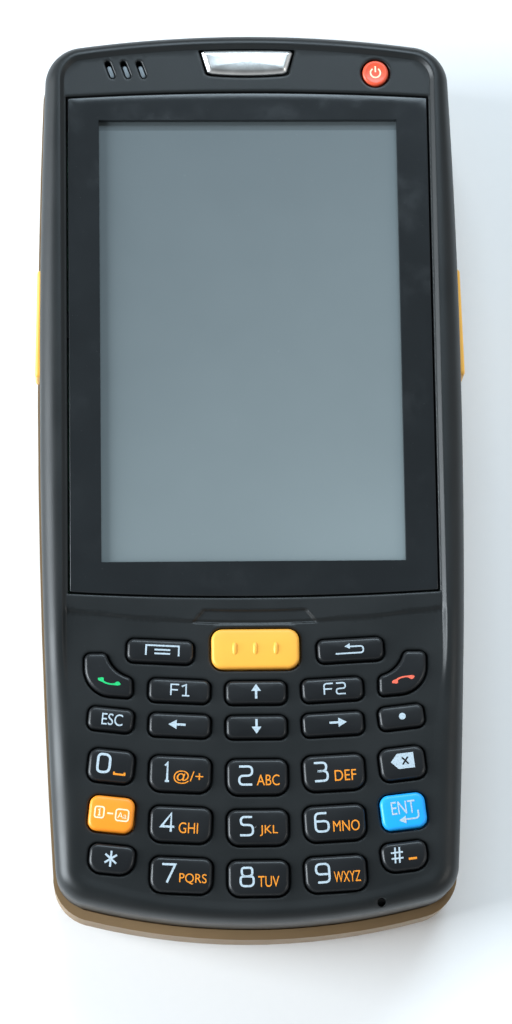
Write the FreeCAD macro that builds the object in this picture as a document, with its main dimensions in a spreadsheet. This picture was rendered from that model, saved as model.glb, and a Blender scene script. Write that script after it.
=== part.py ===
"""Handheld data collector: keypad terminal with touch display, side triggers and removable battery.

The frame is in millimetres: +X to the right of the display, +Y to the top end, +Z out of the display.
The terminal lies on its back on Z = 0, with the origin under the middle of its bounding box.
"""
import FreeCAD
import Part
import Sketcher
import math
import os
from types import SimpleNamespace

SIZES = {
    # case
    "top_corner_in": 28.1, "top_corner_rise": 73.37,
    "top_side_out": 33.95, "top_side_rise": 66.9, "top_corner_radius": 6.5,
    "low_corner_in": 28.15, "low_corner_drop": 70.56,
    "low_side_out": 32.7, "low_side_drop": 65.1, "low_corner_radius": 6.0,
    "top_arc_radius": 205.0, "side_arc_radius": 1350.0, "low_arc_radius": 112.0,
    "wall": 1.6, "side_wall": 0.4, "rear_lip": 0.5, "rear_low_lip": 1.7,
    "rear_rounding": 4.5, "front_rounding": 2.2,
    # levels above the resting face
    "floor_level": 2.2, "seam_low": 14.3, "seam_high": 14.7, "skin_level": 24.6,
    "pad_level": 26.7, "face_level": 27.0, "rim_level": 27.6,
    # touch glass and display
    "window_top": 60.2, "window_length": 75.3,
    "glass_half": 30.15, "glass_top": 64.9, "glass_low": 20.85, "glass_bow": 0.9,
    "glass_thick": 1.25, "glass_gap": 0.25, "glass_bow_radius": 506.0,
    "panel_half": 26.8, "panel_over": 1.9, "panel_thick": 3.2, "panel_gap": 0.4, "frame_wall": 0.8,
    "frame_gap": 0.15,
    # keys
    "key_top": 27.7, "key_gap": 0.25, "key_flange": 0.5, "key_edge": 0.45,
    "flange_low": 23.6, "flange_high": 24.3, "stem_low": 22.6, "stem_radius": 1.3,
    "inner_column": 12.45, "outer_column": 23.6, "inner_tilt": 3.0, "outer_tilt": 6.5,
    "digit_row": 50.4, "digit_pitch": 8.2, "digit_high": 5.7, "digit_wide": 9.9,
    "centre_drop": 0.4, "arrow_row": 36.4, "arrow_pitch": 5.65, "arrow_high": 3.7,
    "outer_wide": 7.3, "menu_column": 15.5, "menu_row": 29.9, "menu_wide": 10.75,
    "scan_row": 29.65, "scan_wide": 14.3, "scan_high": 6.5, "corner_small": 1.1, "corner_big": 1.5,
    "rib_pitch": 3.35, "rib_half": 0.35, "rib_reach": 1.05, "rib_rise": 0.25, "rib_root": 0.1,
    # power button, badge, earpiece slots
    "power_across": 21.6, "power_up": 68.3, "power_radius": 2.15, "power_top": 27.3,
    "badge_up": 70.4, "badge_half": 7.8, "badge_high": 4.1,
    "slot_across": 21.0, "slot_up": 69.0, "slot_pitch": 2.7, "slot_wide": 1.0, "slot_long": 3.3,
    "slot_step": 0.2, "slot_lean": 21.0, "mic_across": 19.8, "mic_down": 69.0, "mic_offset": 2.0,
    "mic_radius": 0.7, "mic_deep": 2.0, "mic_body": 1.4,
    # side triggers
    "trigger_low": 16.9, "trigger_high": 35.2, "trigger_floor": 17.2, "trigger_roof": 23.6,
    "trigger_out_low": 35.8, "trigger_out_high": 35.35, "trigger_in": 32.2, "trigger_flange": 33.1,
    "trigger_foot": 31.6, "trigger_foot_low": 7.0, "trigger_foot_high": 11.0, "trigger_gap": 0.3,
    # battery bay, door and latch
    "pack_half": 25.0, "pack_low": 41.0, "pack_high": 21.0, "pack_floor": 2.3, "pack_roof": 12.4,
    "bay_gap": 0.4, "bay_wall": 2.2, "door_rim": 3.0, "door_side": 1.5, "door_gap": 0.3,
    "door_floor": 0.1, "door_roof": 2.0, "latch_half": 5.5, "latch_travel": 3.0,
    # boards
    "board_floor": 19.8, "board_roof": 21.0, "board_half": 30.4,
    "post_across": 29.9, "post_high": 57.5, "post_low": 18.0, "post_radius": 1.5, "bond": 0.2,
    # socket and its flap on the right side
    "port_along": 9.0, "port_wide": 8.2, "port_floor": 15.8, "port_roof": 19.7,
    "flap_inside": 33.8, "flap_outside": 34.9,
    # scan engine, camera, speaker
    "scanner_half": 11.0, "camera_across": 15.0, "camera_up": 52.0, "camera_radius": 4.0,
    "speaker_across": 14.0, "speaker_up": 54.0,
    # screws
    "screw_across": 29.8, "screw_low": 62.0, "screw_high": 66.0, "screw_radius": 0.95,
    "screw_head": 1.8, "boss_radius": 2.1, "boss_root": 0.6,
    "blade_pitch": 2.6, "contact_along": 60.0, "contact_pitch": 5.0, "contact_radius": 1.2,
}


class Size:
    """A length together with the spreadsheet expression that gives it."""

    def __init__(self, value, text):
        self.value = float(value)
        self.text = text

    def __add__(self, other):
        other = as_size(other)
        return Size(self.value + other.value, f"({self.text} + {other.text})")

    def __sub__(self, other):
        other = as_size(other)
        return Size(self.value - other.value, f"({self.text} - {other.text})")

    def __mul__(self, factor):
        return Size(self.value * factor, f"({self.text} * {as_size(factor).text})")

    def __neg__(self):
        return Size(-self.value, f"(-1 * {self.text})")

    __radd__ = __add__
    __rmul__ = __mul__

    def __rsub__(self, other):
        return as_size(other) - self


def as_size(number):
    """Turn a plain number into a Size; leave a Size as it is."""
    if isinstance(number, Size):
        return number
    return Size(number, f"({float(number):.6f})")


doc = FreeCAD.newDocument("data_collector")


def fill_sheet():
    """Write the driving dimensions and return them as Sizes by name."""
    sheet = doc.addObject("Spreadsheet::Sheet", "sizes")
    cells = SimpleNamespace()
    for row, (alias, value) in enumerate(SIZES.items(), start=1):
        sheet.set(f"A{row}", alias)
        sheet.set(f"B{row}", str(value))
        sheet.setAlias(f"B{row}", alias)
        setattr(cells, alias, Size(value, f"sizes.{alias}"))
    doc.recompute()
    return cells


s = fill_sheet()
nodes = []


def bind(thing, name, size):
    """Give a property its value and tie it to the sheet."""
    thing.setExpression(name, as_size(size).text)


def place(thing, x=0, y=0, z=0, turn=0):
    """Put an object at x, y, z, turned about +Z by turn degrees, all tied to the sheet."""
    base = f"vector({as_size(x).text}; {as_size(y).text}; {as_size(z).text})"
    spin = f"rotation(vector(0; 0; 1); {as_size(turn).text})"
    thing.setExpression("Placement", f"placement({base}; {spin})")


def new_body(label):
    """Start a sub-part's body and note it as a node."""
    body = doc.addObject("PartDesign::Body", label)
    body.Label = label
    nodes.append(body)
    return body


def new_sketch(body, level):
    """Attach a sketch to the body's XY plane, lifted to a level."""
    sketch = body.newObject("Sketcher::SketchObject", body.Label + "_sketch")
    plane = next(item for item in body.Origin.OriginFeatures if item.Role == "XY_Plane")
    sketch.AttachmentSupport = [(plane, "")]
    sketch.MapMode = "FlatFace"
    bind(sketch, "AttachmentOffset.Base.z", level)
    return sketch


def pin(geometry, point, x, y):
    """Return the constraints that pin a sketch point, with the sizes that drive them."""
    found = []
    for kind, axis, size in (("DistanceX", -2, x), ("DistanceY", -1, y)):
        if abs(size.value) < 1e-9:
            found.append((Sketcher.Constraint("PointOnObject", geometry, point, axis), None))
        else:
            found.append((Sketcher.Constraint(kind, geometry, point, size.value), size))
    return found


def constrain(sketch, found):
    """Add constraints in one go and tie their values to the sheet."""
    numbers = sketch.addConstraint([constraint for constraint, _ in found])
    for number, (_, size) in zip(numbers, found):
        if size is not None:
            sketch.setExpression(f"Constraints[{number}]", size.text)


def bend_curve(start, end, radius):
    """Return the arc from start to end that bulges to the right of the way, or left if radius < 0."""
    middle = (start + end) * 0.5
    chord = end - start
    lean = math.sqrt(radius ** 2 - (chord.Length / 2) ** 2)
    left = FreeCAD.Vector(-chord.y, chord.x, 0).normalize()
    centre = middle + left * math.copysign(lean, radius)
    first, last = (start, end) if radius > 0 else (end, start)
    angles = [math.atan2(point.y - centre.y, point.x - centre.x) for point in (first, last)]
    circle = Part.Circle(centre, FreeCAD.Vector(0, 0, 1), abs(radius))
    return Part.ArcOfCircle(circle, angles[0], angles[1])


def draw_outline(sketch, points):
    """Draw a closed outline of (x, y, bend) points; bend is the signed radius of the run that follows."""
    corners = [FreeCAD.Vector(as_size(x).value, as_size(y).value, 0) for x, y, _ in points]
    found = []
    ends = []
    for number, (x, y, bend) in enumerate(points):
        start, end = corners[number], corners[(number + 1) % len(points)]
        if bend is None:
            geometry = sketch.addGeometry(Part.LineSegment(start, end))
            ends.append((geometry, 1, 2))
        else:
            bend = as_size(bend)
            geometry = sketch.addGeometry(bend_curve(start, end, bend.value))
            ends.append((geometry, 1, 2) if bend.value > 0 else (geometry, 2, 1))
            size = bend if bend.value > 0 else -bend
            found.append((Sketcher.Constraint("Radius", geometry, size.value), size))
        found += pin(geometry, ends[-1][1], as_size(x), as_size(y))
    for number, (geometry, _, last) in enumerate(ends):
        following, first, _ = ends[(number + 1) % len(ends)]
        found.append((Sketcher.Constraint("Coincident", geometry, last, following, first), None))
    constrain(sketch, found)


def rectangle(x0, x1, y0, y1):
    """Points of a plain rectangle."""
    return [(x0, y0, None), (x1, y0, None), (x1, y1, None), (x0, y1, None)]


def rounded(wide, high, radius, x=0, y=0, turn=0):
    """Points of a rounded rectangle about x, y, turned by turn degrees."""
    wide, high, radius = as_size(wide) * 0.5, as_size(high) * 0.5, as_size(radius)
    across, up = wide - radius, high - radius
    local = [(-across, -high, None), (across, -high, radius), (wide, -up, None), (wide, up, radius),
             (across, high, None), (-across, high, radius), (-wide, up, None), (-wide, -up, radius)]
    angle = math.radians(as_size(turn).value)
    c, n = math.cos(angle), math.sin(angle)
    return [(x + px * c - py * n, y + px * n + py * c, bend) for px, py, bend in local]


def mirrored(points):
    """Points of an outline mirrored in X."""
    return [(-x, y, None if bend is None else -bend) for x, y, bend in points]


def pad(body, level, height, *outlines):
    """Raise outlines from a level by a height."""
    sketch = new_sketch(body, level)
    for outline in outlines:
        draw_outline(sketch, outline)
    feature = body.newObject("PartDesign::Pad", body.Label + "_pad")
    feature.Profile = sketch
    bind(feature, "Length", height)
    return feature


def pocket(body, level, depth, *outlines, upward=False):
    """Cut outlines from a level by a depth, down into the piece or up into it."""
    doc.recompute()
    before = body.Shape.Volume
    sketch = new_sketch(body, level)
    for outline in outlines:
        draw_outline(sketch, outline)
    feature = body.newObject("PartDesign::Pocket", body.Label + "_pocket")
    feature.Profile = sketch
    feature.Reversed = upward
    bind(feature, "Length", depth)
    doc.recompute()
    assert body.Shape.Volume < before - 1e-6, f"{sketch.Label} cuts nothing"
    return feature


def block(body, kind, low, high):
    """Add or subtract a box between two corners; kind is Additive or Subtractive."""
    feature = body.newObject(f"PartDesign::{kind}Box", body.Label + "_block")
    for name, near, far in zip(("Length", "Width", "Height"), low, high):
        bind(feature, name, as_size(far) - near)
    place(feature, *low)
    return feature


def rod(body, kind, x, y, z, radius, height):
    """Add or subtract an upright cylinder."""
    feature = body.newObject(f"PartDesign::{kind}Cylinder", body.Label + "_rod")
    bind(feature, "Radius", radius)
    bind(feature, "Height", height)
    place(feature, x, y, z)
    return feature


def round_edges(body, radius, chosen):
    """Fillet the tip's edges that a test picks out."""
    doc.recompute()
    tip = body.Tip
    names = [f"Edge{n}" for n, edge in enumerate(tip.Shape.Edges, start=1) if chosen(edge)]
    feature = body.newObject("PartDesign::Fillet", body.Label + "_fillet")
    feature.Base = (tip, names)
    bind(feature, "Radius", radius)
    doc.recompute()
    return feature


def lies_at(level):
    """Return a test for edges that lie wholly at one level."""
    height = as_size(level).value
    return lambda edge: abs(edge.BoundBox.ZMin - height) < 1e-4 and abs(edge.BoundBox.ZMax - height) < 1e-4


def box_piece(name, low, high):
    """A plain Part box between two corners, not a node by itself."""
    piece = doc.addObject("Part::Box", name)
    for prop, near, far in zip(("Length", "Width", "Height"), low, high):
        bind(piece, prop, as_size(far) - near)
    place(piece, *low)
    return piece


def disc_piece(name, x, y, z, radius, height):
    """A plain upright Part cylinder, not a node by itself."""
    piece = doc.addObject("Part::Cylinder", name)
    bind(piece, "Radius", radius)
    bind(piece, "Height", height)
    place(piece, x, y, z)
    return piece


def as_node(piece, label):
    """Name an object as a sub-part."""
    piece.Label = label
    nodes.append(piece)
    return piece


def fused(name, *pieces):
    """Fuse pieces into one solid."""
    whole = doc.addObject("Part::MultiFuse", name)
    whole.Shapes = list(pieces)
    return whole


def group(label, pieces):
    """Make one node of several separate solids."""
    whole = doc.addObject("Part::Compound", label)
    whole.Links = list(pieces)
    return as_node(whole, label)


def case_outline(side, top, low):
    """The case's outline, grown by side, top and low; anticlockwise from the low left corner."""
    right = [(s.low_corner_in, -s.low_corner_drop - low, s.low_corner_radius + (side + low) * 0.5),
             (s.low_side_out + side, -s.low_side_drop, s.side_arc_radius),
             (s.top_side_out + side, s.top_side_rise, s.top_corner_radius + (side + top) * 0.5),
             (s.top_corner_in, s.top_corner_rise + top, s.top_arc_radius)]
    left = [(-s.top_corner_in, s.top_corner_rise + top, s.top_corner_radius + (side + top) * 0.5),
            (-s.top_side_out - side, s.top_side_rise, s.side_arc_radius),
            (-s.low_side_out - side, -s.low_side_drop, s.low_corner_radius + (side + low) * 0.5),
            (-s.low_corner_in, -s.low_corner_drop - low, s.low_arc_radius)]
    return right + left


def glass_outline(grow):
    """The touch glass, straight at the sides and bowed at both ends."""
    half, top, low = s.glass_half + grow, s.glass_top - s.glass_bow + grow, s.glass_low - s.glass_bow + grow
    return [(-half, -low, s.glass_bow_radius), (half, -low, None),
            (half, top, s.glass_bow_radius), (-half, top, None)]


def pad_outline():
    """The shallow panel that the keypad stands in."""
    right = [(24.0, -72.0 + 1.6, 6.5), (29.0, -66.2, None), (29.3, -27.5, 4.0), (25.3, -23.4, None)]
    left = [(-25.3, -23.4, 4.0), (-29.3, -27.5, None), (-29.0, -66.2, 6.5), (-24.0, -72.0 + 1.6, 150.0)]
    return [(as_size(x), as_size(y), bend) for x, y, bend in right + left]


def call_outline(grow, side):
    """The winged call or end key; side is 1 on the right and -1 on the left."""
    grow = as_size(grow)
    points = [(27.8 + grow, as_size(-32.8), None), (27.8 + grow, as_size(-31.2), 1.0 + grow),
              (as_size(26.8), -30.2 + grow, None), (as_size(24.9), -30.2 + grow, 0.9 + grow),
              (24.1 - grow * 0.7, -30.9 + grow * 0.7, grow - 5.0),
              (20.9 - grow * 0.7, -34.1 + grow * 0.7, 1.0 + grow),
              (20.1 - grow, as_size(-35.2), None), (20.1 - grow, as_size(-36.6), 0.8 + grow),
              (as_size(20.9), -37.4 - grow, None), (as_size(23.2), -37.2 - grow, 4.6 + grow)]
    return points if side > 0 else mirrored(points)


def key_layout():
    """Every straight-sided key: name, centre, width, height, tilt and corner radius."""
    keys = [("scan_key", 0, -s.scan_row, s.scan_wide, s.scan_high, 0, s.corner_big + 0.3)]
    for side, names in ((-1, ("key_menu", "key_f1", "key_left", "key_1", "key_4", "key_7")),
                        (1, ("key_back", "key_f2", "key_right", "key_3", "key_6", "key_9"))):
        column, tilt = s.inner_column * side, s.inner_tilt * side
        keys.append((names[0], s.menu_column * side, -s.menu_row, s.menu_wide, s.arrow_high, tilt,
                     s.corner_small))
        for row in range(2):
            level = -s.arrow_row - s.arrow_pitch * row
            keys.append((names[1 + row], column, level, s.digit_wide, s.arrow_high, tilt, s.corner_small))
        for row in range(3):
            level = -s.digit_row + s.centre_drop - s.digit_pitch * row
            keys.append((names[3 + row], column, level, s.digit_wide, s.digit_high, tilt, s.corner_big))
    for row, name in enumerate(("key_up", "key_down")):
        level = -s.arrow_row - s.centre_drop - s.arrow_pitch * row
        keys.append((name, 0, level, s.digit_wide - 0.1, s.arrow_high, 0, s.corner_small))
    for row, name in enumerate(("key_2", "key_5", "key_8")):
        level = -s.digit_row - 0.2 - s.digit_pitch * row
        keys.append((name, 0, level, s.digit_wide - 0.1, s.digit_high, 0, s.corner_big))
    for side, names in ((-1, ("key_esc", "key_0", "key_shift", "key_star")),
                        (1, ("key_dot", "key_backspace", "key_enter", "key_hash"))):
        heights = (s.arrow_high, s.digit_high - 0.45, s.digit_high, s.digit_high - 1.1)
        for name, level, high in zip(names, (-41.0, -48.6, -56.45, -63.7), heights):
            radius = s.corner_small if high is heights[0] else s.corner_big
            keys.append((name, s.outer_column * side, level, s.outer_wide, high,
                         s.outer_tilt * side, radius))
    return keys


def finish_key(body, x, y):
    """Add a key's stem and round the rim of its cap."""
    rod(body, "Additive", x, y, s.stem_low, s.stem_radius, s.flange_low - s.stem_low + 0.1)
    round_edges(body, s.key_edge, lies_at(s.key_top))


def make_key(name, x, y, wide, high, tilt, radius):
    """A straight-sided key: cap, retaining flange and stem, about its own centre."""
    body = new_body(name)
    flange = rounded(wide + s.key_flange * 2, high + s.key_flange * 2, radius + s.key_flange)
    pad(body, s.flange_low, s.flange_high - s.flange_low, flange)
    pad(body, s.flange_high, s.key_top - s.flange_high, rounded(wide, high, radius))
    finish_key(body, 0, 0)
    if name == "scan_key":
        for number in (-1, 0, 1):
            middle = s.rib_pitch * number
            block(body, "Additive", (middle - s.rib_half, -s.rib_reach, s.key_top - s.rib_root),
                  (middle + s.rib_half, s.rib_reach, s.key_top + s.rib_rise))
    place(body, x, y, 0, tilt)


def make_call_key(name, side):
    """The winged call or end key beside the scan key."""
    body = new_body(name)
    pad(body, s.flange_low, s.flange_high - s.flange_low, call_outline(s.key_flange, side))
    pad(body, s.flange_high, s.key_top - s.flange_high, call_outline(0, side))
    finish_key(body, as_size(24.6 * side), as_size(-34.4))


def make_front_cover():
    """Front shell with the glass seat, keypad holes, slots, button hole and trigger slots."""
    body = new_body("front_cover")
    pad(body, s.seam_high, s.rim_level - s.seam_high, case_outline(as_size(0), as_size(0), as_size(0)))
    round_edges(body, s.front_rounding, lies_at(s.rim_level))
    inset = -s.wall
    pocket(body, s.seam_high, s.skin_level - s.seam_high, case_outline(inset, inset, inset), upward=True)
    face = [(-30.9, -24.5, None), (30.9, -24.5, None), (30.9, 67.0, None), (26.8, 70.6, None),
            (8.3, 72.4, None), (-8.3, 72.4, None), (-26.8, 70.6, None), (-30.9, 67.0, None)]
    pocket(body, s.rim_level, s.rim_level - s.face_level, face)
    pocket(body, s.rim_level, s.rim_level - s.pad_level, pad_outline())
    seat = s.glass_thick + 0.05
    pocket(body, s.face_level, seat, glass_outline(s.glass_gap))
    low, high = s.window_top - s.window_length - s.panel_over, s.window_top + s.panel_over
    opening = rectangle(-s.panel_half - s.panel_gap, s.panel_half + s.panel_gap,
                        low - s.panel_gap, high + s.panel_gap)
    pocket(body, s.face_level, s.face_level - s.skin_level + 0.1, opening)
    cut_key_holes(body)
    add_front_bosses(body)
    cut_top_end(body)
    cut_sides(body)


def cut_key_holes(body):
    """Cut the keypad's holes, a few keys to a pocket."""
    keys = key_layout()
    depth = s.pad_level - s.skin_level + 0.1
    holes = [rounded(wide + s.key_gap * 2, high + s.key_gap * 2, radius + s.key_gap, x, y, tilt)
             for _, x, y, wide, high, tilt, radius in keys]
    holes += [call_outline(s.key_gap, side) for side in (-1, 1)]
    for first in range(0, len(holes), 7):
        pocket(body, s.pad_level, depth, *holes[first:first + 7])


def add_front_bosses(body):
    """Screw bosses in the corners and posts for the main board."""
    for side in (-1, 1):
        for up, roof in ((s.screw_high, s.skin_level + 0.2), (-s.screw_low, s.flange_low - 0.6)):
            across = (s.screw_across - (0.6 if up.value > 0 else 0)) * side
            rod(body, "Additive", across, up, s.seam_high, s.boss_radius, roof - s.seam_high)
            rod(body, "Subtractive", across, up, s.seam_high - 0.1, s.screw_radius, 7.0)
        for up in (s.post_high, -s.post_low):
            rod(body, "Additive", s.post_across * side, up, s.board_roof, s.post_radius,
                s.skin_level + s.bond - s.board_roof)


def cut_top_end(body):
    """Cut the badge seat, earpiece slots, power hole, microphone hole and scan window."""
    low = s.badge_up - s.badge_high * 0.5 - 0.4
    high = s.badge_up + s.badge_high * 0.5 + 0.3
    seat = [(-s.badge_half + 0.8, low, None), (s.badge_half - 0.8, low, None),
            (s.badge_half + 0.5, high, None), (-s.badge_half - 0.5, high, None)]
    pocket(body, s.face_level, as_size(0.8), seat)
    slots = [rounded(s.slot_wide, s.slot_long, s.slot_wide * 0.49,
                     -s.slot_across + s.slot_pitch * n, s.slot_up + s.slot_step * n, s.slot_lean)
             for n in (-1, 0, 1)]
    pocket(body, s.face_level, s.face_level - s.skin_level + 0.1, *slots)
    rod(body, "Subtractive", s.power_across, s.power_up, s.skin_level - 0.1, s.power_radius + 0.3, 3.2)
    rod(body, "Subtractive", s.mic_across, -s.mic_down - s.mic_offset, s.face_level - 0.9,
        s.mic_radius, s.mic_deep)
    block(body, "Subtractive", (-s.scanner_half - 0.2, 70.0, 15.8), (s.scanner_half + 0.2, 80.0, 21.4))


def cut_sides(body):
    """Cut the trigger slots in both side walls and the socket with its flap seat on the right."""
    for side in (-1, 1):
        near, far = (32.0, 37.0) if side > 0 else (-37.0, -32.0)
        gap = s.trigger_gap
        block(body, "Subtractive", (near, s.trigger_low - gap, s.trigger_floor - gap),
              (far, s.trigger_high + gap, s.trigger_roof + gap))
    block(body, "Additive", (31.0, -18.2, s.seam_high), (34.0, 0.2, s.skin_level + 0.2))
    block(body, "Subtractive", (30.0, -s.port_along - s.port_wide * 0.5, s.port_floor),
          (37.0, -s.port_along + s.port_wide * 0.5, s.port_roof))
    block(body, "Subtractive", (s.flap_inside - 0.2, -16.9, 15.2), (37.0, -1.7, 20.8))


def make_rear_cover():
    """Rear shell with the battery bay, speaker grille, camera hole and screw bosses."""
    body = new_body("rear_cover")
    pad(body, 0, s.seam_low, case_outline(s.rear_lip, s.rear_lip, s.rear_low_lip))
    round_edges(body, s.rear_rounding, lies_at(0))
    inset = s.rear_lip - s.wall
    pocket(body, s.seam_low, s.seam_low - s.floor_level,
           case_outline(inset - s.side_wall, inset, s.rear_low_lip - s.wall))
    add_battery_bay(body)
    for side in (-1, 1):
        for up in (s.screw_high, -s.screw_low):
            across = (s.screw_across - (0.6 if up.value > 0 else 0)) * side
            rod(body, "Additive", across, up, s.floor_level - s.boss_root, s.boss_radius + 0.3,
                s.seam_low - s.floor_level + s.boss_root)
            rod(body, "Subtractive", across, up, -0.1, s.screw_head + 0.15, 2.3)
            rod(body, "Subtractive", across, up, 1.0, s.screw_radius + 0.1, s.seam_low)
    rod(body, "Subtractive", -s.camera_across, s.camera_up, -0.1,
        s.camera_radius + s.frame_gap, s.floor_level + 0.2)
    for row in range(5):
        level = s.speaker_up + (row - 2) * 2.0
        block(body, "Subtractive", (s.speaker_across - 6.0, level - 0.45, -0.1),
              (s.speaker_across + 6.0, level + 0.45, s.floor_level + 0.1))
    for number in range(4):
        rod(body, "Subtractive", s.contact_pitch * (number - 1.5), -s.contact_along, -0.1,
            s.contact_radius + 0.1, s.floor_level + 0.2)


def add_battery_bay(body):
    """The bay's walls and roof, the door's seat, the latch notch and the contact slot."""
    gap, wall = s.bay_gap, s.bay_wall
    half, low, high = s.pack_half + gap, -s.pack_low - gap, s.pack_high + gap
    block(body, "Additive", (-half - wall, low - wall, s.floor_level - 0.1),
          (half + wall, high + wall, s.seam_low - 0.3))
    block(body, "Subtractive", (-half, low, -0.1), (half, high, s.pack_roof + gap))
    seat_half = s.pack_half + s.door_side + s.door_gap
    seat_low, seat_high = -s.pack_low - s.door_rim - s.door_gap, s.pack_high + s.door_rim + s.door_gap
    block(body, "Subtractive", (-seat_half, seat_low, -0.1), (seat_half, seat_high, s.door_roof + 0.1))
    block(body, "Subtractive", (-3.4, seat_low - 1.6, -0.1), (3.4, seat_low + 0.1, s.door_roof + 0.1))
    block(body, "Subtractive", (-6.0, s.pack_high + 0.1, 6.0), (6.0, s.pack_high + 2.8, 11.0))


def make_gasket():
    """The seal between the two shells."""
    body = new_body("case_gasket")
    inset = as_size(-0.35)
    pad(body, s.seam_low, s.seam_high - s.seam_low, case_outline(inset, inset, inset),
        case_outline(-s.wall, -s.wall, -s.wall))


def make_display():
    """Touch glass, display module and its metal tray."""
    glass = new_body("touch_glass")
    pad(glass, s.face_level - s.glass_thick, s.glass_thick, glass_outline(as_size(0)))
    low, high = s.window_top - s.window_length - s.panel_over, s.window_top + s.panel_over
    roof = s.face_level - s.glass_thick - 0.25
    module = new_body("display_module")
    pad(module, roof - s.panel_thick, s.panel_thick, rectangle(-s.panel_half, s.panel_half, low, high))
    tray = new_body("display_frame")
    floor = roof - s.panel_thick - s.frame_wall
    gap, grow = s.frame_gap, s.frame_wall + s.frame_gap
    pad(tray, floor, s.skin_level - 0.1 - floor,
        rectangle(-s.panel_half - grow, s.panel_half + grow, low - grow, high + grow))
    pocket(tray, s.skin_level, s.skin_level - floor - s.frame_wall,
           rectangle(-s.panel_half - gap, s.panel_half + gap, low - gap, high + gap))


def make_boards():
    """Keypad membrane, dome sheet, keypad board and main board."""
    sheets = (("keypad_membrane", 21.5, 0.6, 54.6), ("dome_sheet", 21.15, 0.3, 53.6),
              ("keypad_board", s.board_floor, s.board_roof - s.board_floor, 54.6))
    for label, floor, thick, wide in sheets:
        body = new_body(label)
        pad(body, floor, thick, rounded(wide, wide - 9.4, 6.0, as_size(0), as_size(-47.0)))
    board = new_body("main_board")
    half = s.board_half
    outline = [(-half, -22.0, None), (half, -22.0, None), (half, 60.0, None), (26.0, 60.0, None),
               (26.0, 71.5, None), (14.5, 71.5, None), (14.5, 58.0, None), (-14.5, 58.0, None),
               (-14.5, 60.0, None), (-half, 60.0, None)]
    pad(board, s.board_floor, s.board_roof - s.board_floor, outline)
    group("shield_cans", [box_piece("radio_can", (-26.0, 14.0, 17.4), (-3.0, 50.0, s.board_floor)),
                          box_piece("processor_can", (3.0, 22.0, 17.4), (26.0, 50.0, s.board_floor)),
                          box_piece("power_can", (-24.0, -16.0, 17.8), (8.0, 8.0, s.board_floor))])


def make_badge():
    """The polished plate between the earpiece and the power button, with bevelled edges."""
    body = new_body("badge_plate")
    low, high = s.badge_up - s.badge_high * 0.5, s.badge_up + s.badge_high * 0.5
    plate = [(-s.badge_half + 1.2, low, 60.0), (s.badge_half - 1.2, low, None),
             (s.badge_half, high, None), (-s.badge_half, high, None)]
    pad(body, s.face_level - 0.8, as_size(1.0), plate)
    round_edges(body, 0.3, lies_at(s.face_level + 0.2))


def make_sound():
    """Earpiece, rear loudspeaker and microphone."""
    earpiece = new_body("earpiece")
    block(earpiece, "Additive", (-26.3, 66.2, 22.1), (-15.6, 71.4, 24.4))
    speaker = new_body("loudspeaker")
    block(speaker, "Additive", (s.speaker_across - 9.0, s.speaker_up - 6.0, s.floor_level + 0.2),
          (s.speaker_across + 9.0, s.speaker_up + 6.0, 6.6))
    rod(speaker, "Additive", s.speaker_across, s.speaker_up, 6.5, 4.0, 1.2)
    microphone = new_body("microphone")
    rod(microphone, "Additive", s.mic_across, -s.mic_down, s.skin_level - s.mic_body, s.mic_body, 1.2)


def make_scanner():
    """Scan engine and its window in the top end."""
    window = new_body("scan_window")
    block(window, "Additive", (-s.scanner_half, 73.2, 16.0), (s.scanner_half, 74.4, 21.2))
    engine = new_body("scan_engine")
    block(engine, "Additive", (-s.scanner_half + 0.5, 59.5, 15.4), (s.scanner_half - 0.5, 72.6, 21.0))
    block(engine, "Subtractive", (-7.5, 69.0, 16.4), (1.0, 73.0, 20.0))
    block(engine, "Subtractive", (3.0, 69.0, 16.4), (8.5, 73.0, 20.0))
    antenna = new_body("antenna")
    block(antenna, "Additive", (-13.0, 65.4, 21.4), (13.0, 72.0, 23.8))


def make_camera():
    """Camera module over its window in the back."""
    window = new_body("camera_window")
    rod(window, "Additive", -s.camera_across, s.camera_up, 0.5, s.camera_radius, 1.0)
    module = new_body("camera_module")
    block(module, "Additive", (-s.camera_across - 4.5, s.camera_up - 4.5, s.floor_level + 0.3),
          (-s.camera_across + 4.5, s.camera_up + 4.5, 7.6))
    rod(module, "Additive", -s.camera_across, s.camera_up, 1.7, 2.8, 1.0)


def make_battery():
    """Battery pack, its contact block, the door and the sliding latch."""
    pack = new_body("battery_pack")
    block(pack, "Additive", (-s.pack_half, -s.pack_low, s.pack_floor),
          (s.pack_half, s.pack_high, s.pack_roof))
    round_edges(pack, 1.5, lambda edge: edge.BoundBox.ZLength > 5)
    contacts = new_body("battery_contacts")
    block(contacts, "Additive", (-5.8, s.pack_high + 0.6, 6.2), (5.8, s.pack_high + 2.7, 10.8))
    for number in range(4):
        across = s.blade_pitch * (number - 1.5)
        block(contacts, "Additive", (across - 0.5, s.pack_high + 0.3, 6.8),
              (across + 0.5, s.pack_high + 0.7, 10.2))
    door = new_body("battery_door")
    half, low, high = s.pack_half + s.door_side, -s.pack_low - s.door_rim, s.pack_high + s.door_rim
    block(door, "Additive", (-half, low, s.door_floor), (half, high, s.door_roof))
    round_edges(door, 1.2, lambda edge: edge.BoundBox.ZLength > 1)
    reach = low + 6.0 + s.latch_travel + 0.6
    block(door, "Subtractive", (-s.latch_half - 0.3, low - 0.1, -0.1), (s.latch_half + 0.3, reach, 1.4))
    latch = new_body("battery_latch")
    block(latch, "Additive", (-s.latch_half, low + 0.6, 0.3), (s.latch_half, low + 6.0, 1.1))
    block(latch, "Additive", (-3.0, low - 1.4, 0.3), (3.0, low + 0.7, 1.1))
    block(latch, "Subtractive", (-3.5, low + 2.2, 0.2), (3.5, low + 4.4, 0.6))


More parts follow.
